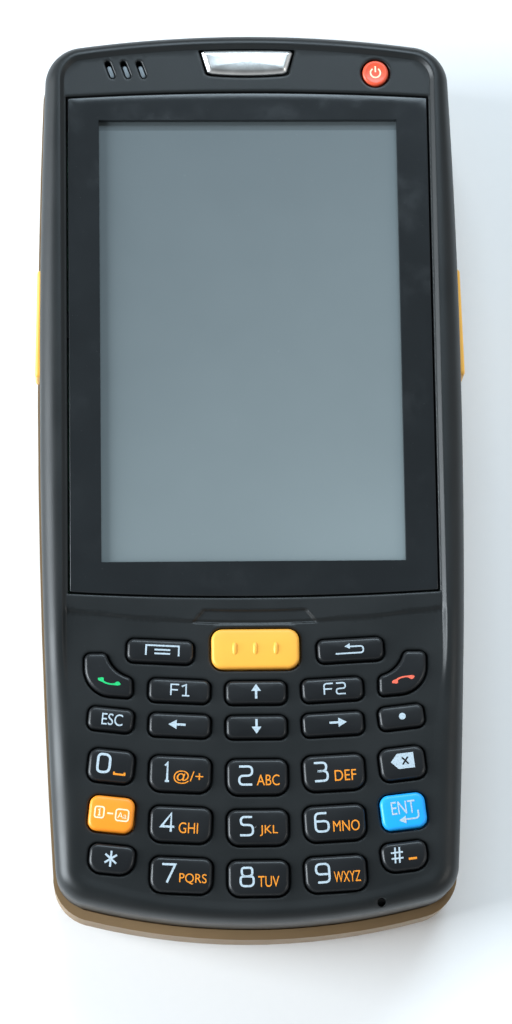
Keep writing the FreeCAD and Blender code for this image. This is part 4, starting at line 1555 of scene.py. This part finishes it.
@dataclass
class Legend:
    """All the marks printed on one key, as thin raised shapes that follow its dome.

    Lengths are in millimetres.
    """

    cap: KeyCap
    marks: Sequence[Mark]
    proud: float = 0.04
    sunk: float = 0.05
    over: float = 0.02

    def build(self) -> bpy.types.Object:
        """Build the legend, with one material slot for each ink.

        Returns:
            The piece.
        """
        plan = self.cap.plan
        centre = plan.outline().mean(0) if isinstance(plan, CallPlan) else plan.middle()
        inks: list[Finish] = []
        mesh = Mesh()
        for mark in self.marks:
            if mark.ink not in inks:
                inks.append(mark.ink)
            for points, faces in mark.shapes():
                flat = turned(points + [mark.across, mark.up], plan.tilt)
                level = self.cap.surface(flat + centre) + (self.over if mark.ink is Finish.WELL else 0.0)
                self.slab(mesh, flat + centre, level, facing(flat, faces), inks.index(mark.ink))
        return mesh.build(f"legend_{plan.node}", inks, plan.node, plan.slot, (), 30.0)

    def slab(self, mesh: Mesh, plan: Array, level: Array, faces: Array, slot: int) -> None:
        """Give flat triangles a thickness: an upper side, a lower side and walls on the outer edges.

        Args:
            mesh: mesh to add to.
            plan: plan points.
            level: height of the key's surface at each.
            faces: triangles that face up.
            slot: material slot.
        """
        count = len(plan)
        pairs = np.vstack([faces[:, [0, 1]], faces[:, [1, 2]], faces[:, [2, 0]]])
        seen = {tuple(pair) for pair in pairs.tolist()}
        rim = np.array([pair for pair in pairs.tolist() if (pair[1], pair[0]) not in seen])
        walls_a = np.stack([rim[:, 0], rim[:, 0] + count, rim[:, 1] + count], 1)
        walls_b = np.stack([rim[:, 0], rim[:, 1] + count, rim[:, 1]], 1)
        points = np.vstack([lift(plan, level + self.proud), lift(plan, level - self.sunk)])
        mesh.patch(points, np.vstack([faces, faces[:, ::-1] + count, walls_a, walls_b]), slot)


def facing(points: Array, faces: Array) -> Array:
    """Turn triangles so that they all face up.

    Args:
        points: n by 2 points.
        faces: triangles of them.

    Returns:
        The triangles, those with a negative area turned round.
    """
    a, b, c = (points[faces[:, number]] for number in range(3))
    area = (b[:, 0] - a[:, 0]) * (c[:, 1] - a[:, 1]) - (b[:, 1] - a[:, 1]) * (c[:, 0] - a[:, 0])
    return np.where(area[:, None] < 0, faces[:, ::-1], faces)


def key_marks() -> dict[str, list[Mark]]:
    """The marks on each key.

    Returns:
        Lists of marks by CAD node.
    """
    orange, cream = Finish.ORANGE_INK, Finish.CREAM_INK
    white = Finish.WHITE_INK
    marks = {
        "key_menu": [Mark(Glyph.MENU, 0.35, 0.0, 5.6, 1.9, white, 0.27)],
        "key_back": [Mark(Glyph.BACK, -0.2, 0.1, 4.8, 1.75, white, 0.25, 0.7)],
        "key_call": [Mark(Glyph.CALL, -0.15, -1.35, 3.7, 2.4, Finish.GREEN_INK)],
        "key_end": [Mark(Glyph.END, 0.2, -1.2, 3.7, 2.4, Finish.RED_INK)],
        "key_f1": [Mark("F1", 0.15, 0.0, 3.7, 2.0, white, 0.23)],
        "key_f2": [Mark("F2", 0.35, 0.0, 4.2, 2.0, white, 0.23, 0.5)],
        "key_esc": [Mark("ESC", 0.25, -0.1, 3.4, 1.9)],
        "key_dot": [Mark(Glyph.DOT, 0.1, 0.0, 1.1, 1.1)],
        "key_up": [Mark(Glyph.UP, 0.0, 0.1, 1.9, 2.4)], "key_down": [Mark(Glyph.DOWN, 0.0, 0.0, 1.9, 2.4)],
        "key_left": [Mark(Glyph.LEFT, -0.45, 0.0, 2.8, 1.8)],
        "key_right": [Mark(Glyph.RIGHT, 0.8, 0.1, 2.8, 1.8)],
        "key_0": [Mark("0", -1.2, 0.25, 2.35, 3.3, white, 0.4, 1.0),
                  Mark(Glyph.SPACE, 1.45, -1.15, 2.0, 0.75, orange, 0.3)],
        "key_star": [Mark("*", -0.15, 0.0, 2.4, 2.9, white, 0.32)],
        "key_hash": [Mark("#", -1.2, 0.25, 2.2, 2.8, white, 0.26),
                     Mark(Glyph.DASH, 1.25, -0.55, 1.7, 0.4, orange, 0.36)],
        "key_backspace": [Mark(Glyph.ERASE, 0.0, 0.3, 3.8, 2.5),
                          Mark(Glyph.CROSS, 0.45, 0.3, 1.2, 1.4, Finish.WELL, 0.24)],
        "key_shift": [Mark(Glyph.BOXED, -1.95, 0.1, 1.7, 2.0, cream, 0.24, 0.4),
                      Mark("1", -1.95, 0.1, 0.62, 1.15, cream, 0.2),
                      Mark(Glyph.DASH, -0.2, 0.05, 1.2, 0.3, cream, 0.26),
                      Mark(Glyph.BOXED, 1.75, -0.05, 2.3, 2.1, cream, 0.24, 0.5),
                      Mark("Aa", 1.75, -0.1, 1.5, 1.0, cream)],
        "key_enter": [Mark("ENT", 0.0, 0.6, 3.9, 2.1),
                      Mark(Glyph.HOOK, 0.75, -1.0, 3.4, 2.1, white, 0.26, 0.6)]}
    letters = {1: "@/+", 2: "ABC", 3: "DEF", 4: "GHI", 5: "JKL", 6: "MNO", 7: "PQRS", 8: "TUV", 9: "WXYZ"}
    widths = {1: 4.8, 2: 3.7, 3: 3.5, 4: 3.1, 5: 2.9, 6: 4.3, 7: 4.4, 8: 3.4, 9: 4.3}
    lefts = {0: -3.35, 1: -3.3, 2: -3.1}
    for number, word in letters.items():
        slim = number == 1
        digit = 1.05 if slim else 2.45
        left = lefts[number % 3] + (0.65 if slim else 0.0)
        start = left + digit + (0.95 if number in (3, 5) else 0.55)
        wide, high = widths[number], 2.15 if slim else 1.75
        soft = 0.0 if number in (1, 4, 7) else 0.75
        marks[f"key_{number}"] = [
            Mark(str(number), left + digit / 2, 0.15, digit, 3.3, white, 0.35, soft),
            Mark(word, start + wide / 2, -0.6, wide, high, orange)]
    return marks


# ---------------------------------------------------------------- touch panel


@dataclass
class TouchPanel:
    """The touch panel: a dark printed border with a bowed top and foot round the sunk display.

    Lengths are in millimetres.
    """

    bow: float = 0.9
    margin: tuple[float, float] = (1.8, 1.9)
    edge: float = 0.22
    sunk: float = 1.15
    lip: float = 0.05
    lip_fall: float = 0.12
    stations: int = 41

    def window(self) -> tuple[Array, Array]:
        """The window's lowest and highest corner, inside the display's box by the margin."""
        low, high = box_of("display_module")
        return low[:2] + self.margin, high[:2] - self.margin

    def outline(self, grow: float = 0.0) -> Array:
        """The panel's outline: two straight sides, a top that rises and a foot that falls to the middle.

        Args:
            grow: how far outside the panel it runs.

        Returns:
            The closed path.
        """
        low, high = box_of("touch_glass")
        across = np.linspace(0, 1, self.stations)
        x0, x1 = low[0] - grow, high[0] + grow
        foot = low[1] - grow + self.bow * (2 * across - 1) ** 2
        top = high[1] + grow - self.bow * (2 * across - 1) ** 2
        x = x0 + (x1 - x0) * across
        lower = np.stack([x, foot], 1)
        upper = np.stack([x, top], 1)[::-1]
        up = across[1:-1, None]
        right = lower[-1] * (1 - up) + upper[0] * up
        left = upper[-1] * (1 - up) + lower[0] * up
        return np.vstack([lower, right, upper, left])

    def aperture(self) -> Array:
        """The window's outline, point for point beside the panel's outline.

        Returns:
            The closed path.
        """
        (x0, y0), (x1, y1) = self.window()
        x, y = np.linspace(x0, x1, self.stations), np.linspace(y0, y1, self.stations)
        lower = np.stack([x, np.full_like(x, y0)], 1)
        right = np.stack([np.full_like(y, x1), y], 1)[1:-1]
        upper = np.stack([x, np.full_like(x, y1)], 1)[::-1]
        left = np.stack([np.full_like(y, x0), y], 1)[1:-1][::-1]
        return np.vstack([lower, right, upper, left])

    def build(self) -> bpy.types.Object:
        """Build the panel: border, bevelled inner and outer edges and the display at the bottom.

        Returns:
            The piece.
        """
        low, high = box_of("touch_glass")
        base, top = low[2], high[2]
        outer, inner = self.outline(), self.aperture()
        centre = np.array([0.0, inner[:, 1].mean()])
        mesh = Mesh()
        rows = [lift(outer, base), lift(outer, top - self.edge)]
        for angle in np.linspace(0, math.pi / 2, 5)[1:]:
            back = self.edge * (1 - math.cos(angle))
            ring = outer + (centre - outer) / np.abs(outer - centre).max(0) * back
            rows.append(lift(ring, top - self.edge * (1 - math.sin(angle))))
        rows += [lift(ring + (inner - ring) * share, top) for share in (0.25, 0.5, 0.75, 1.0)]
        lip = inner + np.sign(centre - inner) * self.lip
        rows += [lift(lip, top - self.lip_fall), lift(lip, top - self.sunk)]
        mesh.grid(rows)
        floor = [lift(centre + (lip - centre) * share, top - self.sunk) for share in (1.0, 0.66, 0.33)]
        mesh.grid(floor, slot=1)
        mesh.fan(floor[-1], (*centre, top - self.sunk), slot=1)
        mesh.fan(lift(outer, base)[::-1], (*centre, base))
        piece = mesh.build("touch_panel", [Finish.BORDER, Finish.BORDER], "case", "touch_glass",
                           ["touch_glass"], 25.0)
        (x0, y0), (x1, y1) = self.window()
        face = DisplayFace("display_face", dye(92, 101, 104), dye(122, 132, 134), x0, x1, y0, y1)
        piece.data.materials[1] = face.make()
        return piece


# ---------------------------------------------------------------- top end


@dataclass
class Badge:
    """The blank chrome badge: a bevelled trapezoid plate in a recess.

    Lengths are in millimetres.
    """

    top_half: float = 7.8
    low_half: float = 6.5
    bow: float = 0.35
    corner: float = 0.55
    bevel: float = 0.75
    proud: float = 0.1
    wall_fall: float = 0.55
    crown: float = 0.1
    gap: float = 0.35

    def shape(self, grow: float = 0.0) -> Array:
        """The trapezoid's outline: its ends lean in towards the foot, and its foot bows down.

        Args:
            grow: how far outside the plate it runs.

        Returns:
            The closed path.
        """
        low, high = box_of("badge_plate")
        y0, y1 = low[1] - grow, high[1] + grow
        top, foot = self.top_half + grow, self.low_half + grow
        lean = (top - foot) / (y1 - y0)
        r = self.corner
        x = np.linspace(-foot + r, foot - r, 21)
        lower = np.stack([x, y0 + self.bow * (x / foot) ** 2], 1)
        up = np.linspace(0, 1, 5)[:, None]
        right = np.array([foot + lean * r, y0 + r]) * (1 - up) + np.array([top - 0.1, y1 - r]) * up
        x = np.linspace(top - r, -top + r, 21)
        upper = np.stack([x, y1 - 0.12 * (x / top) ** 2], 1)
        return np.vstack([lower, right, upper, (right * [-1, 1])[::-1]])

    def recess(self) -> Array:
        """The hole in the housing round the plate."""
        return self.shape(self.gap)

    def build(self) -> bpy.types.Object:
        """Build the plate: a wall, a wide bevel and a slightly crowned middle.

        Returns:
            The piece.
        """
        low, high = box_of("badge_plate")
        path = self.shape()
        normal = outward(path)
        centre = path.mean(0)
        top = high[2] + self.proud
        rows = [lift(path, low[2]), lift(path, top - self.wall_fall)]
        inside = self.bevel + 0.12
        for back, fall in ((0.08, 0.42), (0.2, 0.3), (0.45, 0.12), (self.bevel, 0.02), (inside, 0.0)):
            rows.append(lift(path - normal * back, top - fall))
        last = path - normal * inside
        for share in (0.8, 0.55, 0.3):
            rows.append(lift(centre + (last - centre) * share, top + self.crown * (1 - share ** 2)))
        mesh = Mesh()
        mesh.grid(rows)
        mesh.fan(rows[-1], (*centre, top + self.crown))
        mesh.fan(rows[0][::-1], (*centre, low[2]))
        return mesh.build("badge", [Finish.CHROME], "case", "badge_chrome", ["badge_plate"], 24.0)


@dataclass
class PowerButton:
    """The round power button: a turned cap with a printed symbol.

    Lengths are in millimetres.
    """

    radius: float = 2.15
    gap: float = 0.28
    flange: float = 0.45
    flange_high: float = 24.3
    stem: float = 1.0
    steps: int = 48
    sign_fall: float = 0.06
    sign_thick: float = 0.14
    sign_reach: tuple[float, float] = (0.7, 0.95)

    def at(self) -> Array:
        """The button's middle in the plan."""
        return middle("power_button")[:2]

    def hole(self) -> Array:
        """The hole in the housing."""
        return circle(self.at(), self.radius + self.gap, self.steps)

    def build(self) -> list[bpy.types.Object]:
        """Build the cap, turned from a profile of back and fall from its rim, and its symbol.

        Returns:
            The two pieces.
        """
        low, high = box_of("power_button")
        foot, top = low[2] + self.stem, high[2]
        rim = self.radius + self.flange
        profile = [(rim, foot), (rim, self.flange_high), (self.radius, self.flange_high)]
        profile += [(self.radius - back, top - fall) for back, fall in
                    ((0.0, 0.32), (0.08, 0.12), (0.25, 0.02), (0.42, 0.0), (0.6, 0.05), (1.05, 0.12),
                     (1.65, 0.14))]
        rows = [lift(circle(self.at(), radius, self.steps), z) for radius, z in profile]
        mesh = Mesh()
        mesh.grid(rows)
        mesh.fan(rows[-1], (*self.at(), top - 0.145))
        mesh.fan(rows[0][::-1], (*self.at(), foot))
        cap = mesh.build("power_cap", [Finish.RED], "power_button", "power_red", ["power_button"], 40.0)
        return [cap, self.symbol(top - self.sign_fall)]

    def symbol(self, top: float) -> bpy.types.Object:
        """Build the symbol: an open ring of square section and an upright bar.

        Args:
            top: the height of its upper side.

        Returns:
            The piece.
        """
        foot = top - self.sign_thick
        sign = Mesh()
        turn = np.radians(np.linspace(125, 415, 30))
        arc = np.stack([np.cos(turn), np.sin(turn)], 1)
        inner, outer = (arc * reach + self.at() for reach in self.sign_reach)
        section = [lift(inner, foot), lift(outer, foot), lift(outer, top), lift(inner, top)]
        sign.grid([*section, section[0]], closed=False)
        quad = np.array([[0, 1, 2, 3]])
        sign.patch(np.stack([row[0] for row in section]), quad[:, ::-1])
        sign.patch(np.stack([row[-1] for row in section]), quad)
        bar = stroke(self.at() + [(0.0, 1.15), (0.0, 0.12)], 0.26)[0]
        sign.grid([lift(bar, foot), lift(bar, top)])
        sign.patch(lift(bar, top), quad)
        sign.patch(lift(bar, foot), quad[:, ::-1])
        return sign.build("power_symbol", [Finish.CREAM_INK], "power_button", "power_red", (), 30.0, True)


@dataclass
class Earpiece:
    """The three leaning slots over the earpiece, with a grey insert in each.

    Lengths are in millimetres and the lean is in degrees.
    """

    shift: tuple[float, float] = (0.55, 0.2)
    pitch: float = 2.62
    wide: float = 0.95
    long: float = 3.3
    lean: float = 20.0
    pad: tuple[float, float] = (0.76, 2.3)
    pad_corner: float = 0.37
    pad_shift: tuple[float, float] = (0.12, -0.36)
    pad_sunk: float = 0.6
    pad_high: float = 0.42
    pad_deep: float = 1.5

    def places(self) -> list[Array]:
        """The middles of the three slots."""
        at = middle("earpiece")[:2] + self.shift
        return [at + [number * self.pitch, 0.0] for number in (-1, 0, 1)]

    def slots(self) -> list[Array]:
        """The three slots' outlines."""
        path = rounded(self.wide, self.long, [self.wide / 2 - 0.01] * 4, 6)
        return [turned(path, self.lean, *at) for at in self.places()]

    def build(self) -> bpy.types.Object:
        """Build the inserts: a small oval pad low in each slot, with a rounded edge.

        Returns:
            The piece.
        """
        level = FrontShell().face - self.pad_sunk
        flat = rounded(*self.pad, [self.pad_corner] * 4, 6)
        mesh = Mesh()
        for at in self.places():
            rows = []
            for angle in np.linspace(0, math.pi / 2 * 0.95, 6):
                ring = turned(flat * (1 - 0.35 * (1 - math.cos(angle))), self.lean, *(at + self.pad_shift))
                rows.append(lift(ring, level + self.pad_high * math.sin(angle)))
            rows.insert(0, rows[0] - [0, 0, self.pad_deep])
            mesh.grid(rows)
            mesh.fan(rows[-1], rows[-1].mean(0))
            mesh.fan(rows[0][::-1], rows[0].mean(0))
        return mesh.build("earpiece_inserts", [Finish.INSERT], "case", "module_black", (), 50.0)


@dataclass
class Trigger:
    """A side scan trigger: a rounded bar that bulges through the wall and tapers to its upper end.

    Lengths are in millimetres; the side is 1 on the right and -1 on the left.
    """

    side: int
    round_over: float = 0.5
    flange: float = 1.0
    plate: float = 1.0
    corner: float = 0.7
    taper: float = 0.45

    def build(self) -> bpy.types.Object:
        """Build the trigger.

        Rows run from the inside out across a rounded rectangle; the outer face leans in to the top.

        Returns:
            The piece.
        """
        node = "right_trigger" if self.side > 0 else "left_trigger"
        low, high = box_of(node)
        centre = (low + high) / 2
        inside, out = sorted(np.abs([low[0], high[0]]))
        whole, tall = high[1] - low[1], high[2] - low[2]
        long = whole - 2 * self.flange
        path = even(rounded(long, tall - 0.02, [self.corner] * 4, 7), 140)
        plate = path * [whole / long, 1.0]
        normal = outward(path)
        lean = self.taper * (path[:, 0] / long + 0.5)

        def row(depth: "float | Array", ring: Array) -> Array:
            """One row across the trigger at a depth from the middle plane."""
            return np.stack([np.broadcast_to(depth, len(ring)), ring[:, 0], ring[:, 1]], 1)

        rows = [row(inside, plate), row(inside + self.plate, plate), row(inside + self.plate, path)]
        for angle in np.linspace(0, math.pi / 2, 8):
            ring = path - normal * self.round_over * (1 - math.cos(angle))
            rows.append(row(out - lean - self.round_over * (1 - math.sin(angle)), ring))
        last = path - normal * self.round_over
        for share in (0.7, 0.4, 0.12):
            ring = last * share
            rows.append(row(out - self.taper * (ring[:, 0] / long + 0.5), ring))
        mesh = Mesh()
        mesh.grid(rows)
        mesh.fan(rows[-1], (out - self.taper / 2, 0.0, 0.0))
        mesh.fan(rows[0][::-1], (inside, 0.0, 0.0))
        mesh.points = [part * [self.side, 1, 1] + [0, centre[1], centre[2]] for part in mesh.points]
        return mesh.build(f"{node}_bar", [Finish.TRIGGER], node, "trigger_yellow", [node], 50.0, True)


# ---------------------------------------------------------------- the rest


@dataclass
class Dressing:
    """Better finishes for the CAD nodes that keep their own shape."""

    finishes: dict[str, Finish] = field(default_factory=lambda: {
        # the rear cover and battery door take the back finish, whose brown is a painted desk reflection
        "rear_cover": Finish.BACK, "battery_door": Finish.BACK, "battery_latch": Finish.BLACK,
        "case_gasket": Finish.SEAL, "port_cover": Finish.SEAL, "display_frame": Finish.STEEL,
        "shield_cans": Finish.STEEL, "case_screws": Finish.SCREW, "charging_contacts": Finish.GOLD,
        "battery_contacts": Finish.GOLD, "usb_socket": Finish.STEEL, "scan_window": Finish.WINDOW,
        "camera_window": Finish.LENS, "keypad_membrane": Finish.SILICONE, "keypad_board": Finish.GREEN,
        "main_board": Finish.GREEN, "battery_pack": Finish.WRAP, "dome_sheet": Finish.STEEL})

    def dress(self) -> None:
        """Give every shown CAD node its finish, or the black of the inner modules."""
        for name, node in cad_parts.items():
            finish = self.finishes.get(name, Finish.BLACK)
            for slot in node.material_slots:
                slot.material = coat(finish)


@dataclass(frozen=True)
class Lamp:
    """One soft rectangular lamp. Lengths are in millimetres and power is in watts."""

    name: str
    at: tuple[float, float, float]
    aim: tuple[float, float, float]
    size: tuple[float, float]
    power: float
    colour: Colour

    def hang(self) -> None:
        """Hang the lamp where it belongs, pointing at its aim."""
        light = bpy.data.lights.new(self.name, "AREA")
        light.shape = "RECTANGLE"
        light.size, light.size_y = self.size[0] * MM, self.size[1] * MM
        light.energy = self.power
        light.color = self.colour
        carrier = bpy.data.objects.new(self.name, light)
        carrier.location = Vector(self.at) * MM
        way = (Vector(self.aim) - Vector(self.at)).normalized()
        carrier.rotation_euler = way.to_track_quat("-Z", "Y").to_euler()
        bpy.context.scene.collection.objects.link(carrier)


@dataclass
class Studio:
    """Floor, soft lights and camera. Lengths are in millimetres and angles in degrees."""

    camera_at: tuple[float, float, float] = (-24.206, -126.190, 623.392)
    camera_turn: tuple[float, float, float] = (11.33457, -2.20372, -0.80940)
    lens: float = 130.395
    film: float = 36.0
    horizon: float = 0.4
    zenith: float = 0.9
    sky: float = 0.55
    dim: float = 0.2
    floor_half: float = 3000.0
    floor_drop: float = 0.02
    lamps: tuple[Lamp, ...] = (
        Lamp("window_left", (-760, -60, 330), (0, -20, 20), (460, 620), 14.0, (0.86, 0.94, 1.0)),
        Lamp("window_top", (90, 520, 640), (0, 0, 20), (560, 300), 5.0, (0.72, 0.88, 1.0)),
        Lamp("fill_right", (700, -200, 620), (0, 0, 20), (300, 400), 1.2, (1.0, 0.97, 0.92)))

    def floor(self) -> None:
        """Lay the floor, a wide plain sheet under the object."""
        low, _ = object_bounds()
        corners = np.array([[-1, -1], [1, -1], [1, 1], [-1, 1]]) * self.floor_half
        data = bpy.data.meshes.new("floor")
        points = lift(corners, low.z / MM - self.floor_drop) * MM
        data.from_pydata(points.tolist(), [], [(0, 1, 2, 3)])
        g = Graph("floor_paper")
        fibre = g.noise(2.0, 3.0, 0.6)
        tone = g.blend(fibre, (0.93, 0.93, 0.93), (0.95, 0.95, 0.95))
        data.materials.append(g.finish(Base_Color=tone, Roughness=fibre * 0.1 + 0.75))
        sheet = bpy.data.objects.new("floor", data)
        bpy.context.scene.collection.objects.link(sheet)
        sheet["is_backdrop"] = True

    def air(self) -> None:
        """Set the soft light all round, bright low down and dim overhead."""
        world = bpy.data.worlds.new("studio")
        world.use_nodes = True
        tree = world.node_tree
        way = tree.nodes.new("ShaderNodeTexCoord")
        split = tree.nodes.new("ShaderNodeSeparateXYZ")
        ramp = tree.nodes.new("ShaderNodeMapRange")
        for socket, value in zip(ramp.inputs[1:5], (self.horizon, self.zenith, 1.0, self.dim)):
            socket.default_value = value
        scale = tree.nodes.new("ShaderNodeMath")
        scale.operation = "MULTIPLY"
        scale.inputs[1].default_value = self.sky
        back = tree.nodes["Background"]
        back.inputs[0].default_value = (0.93, 0.97, 1.0, 1.0)
        for start, end in ((way.outputs["Generated"], split.inputs[0]), (split.outputs[2], ramp.inputs[0]),
                           (ramp.outputs[0], scale.inputs[0]), (scale.outputs[0], back.inputs[1])):
            tree.links.new(start, end)
        bpy.context.scene.world = world

    def camera(self) -> None:
        """Set up the camera."""
        data = bpy.data.cameras.new("camera")
        data.lens = self.lens
        data.sensor_width = self.film
        data.clip_start, data.clip_end = 0.02, 20.0
        eye = bpy.data.objects.new("camera", data)
        eye.location = Vector(self.camera_at) * MM
        eye.rotation_euler = Euler([math.radians(angle) for angle in self.camera_turn])
        bpy.context.scene.collection.objects.link(eye)
        bpy.context.scene.camera = eye

    def build(self) -> None:
        """Set the stage."""
        self.floor()
        self.air()
        bpy.context.scene.view_settings.view_transform = "Standard"
        for lamp in self.lamps:
            lamp.hang()
        self.camera()


def main() -> None:
    """Build every piece in order, then the stage."""
    logging.basicConfig(level=logging.INFO, format="%(name)s %(message)s", stream=sys.stdout)
    Dressing().dress()
    FrontShell().build()
    marks = key_marks()
    for plan in key_plans():
        cap = KeyCap(plan)
        cap.build()
        if plan.node in marks:
            Legend(cap, marks[plan.node]).build()
    TouchPanel().build()
    Badge().build()
    PowerButton().build()
    Earpiece().build()
    for side in (-1, 1):
        Trigger(side).build()
    Studio().build()


if __name__ == "__main__":
    main()
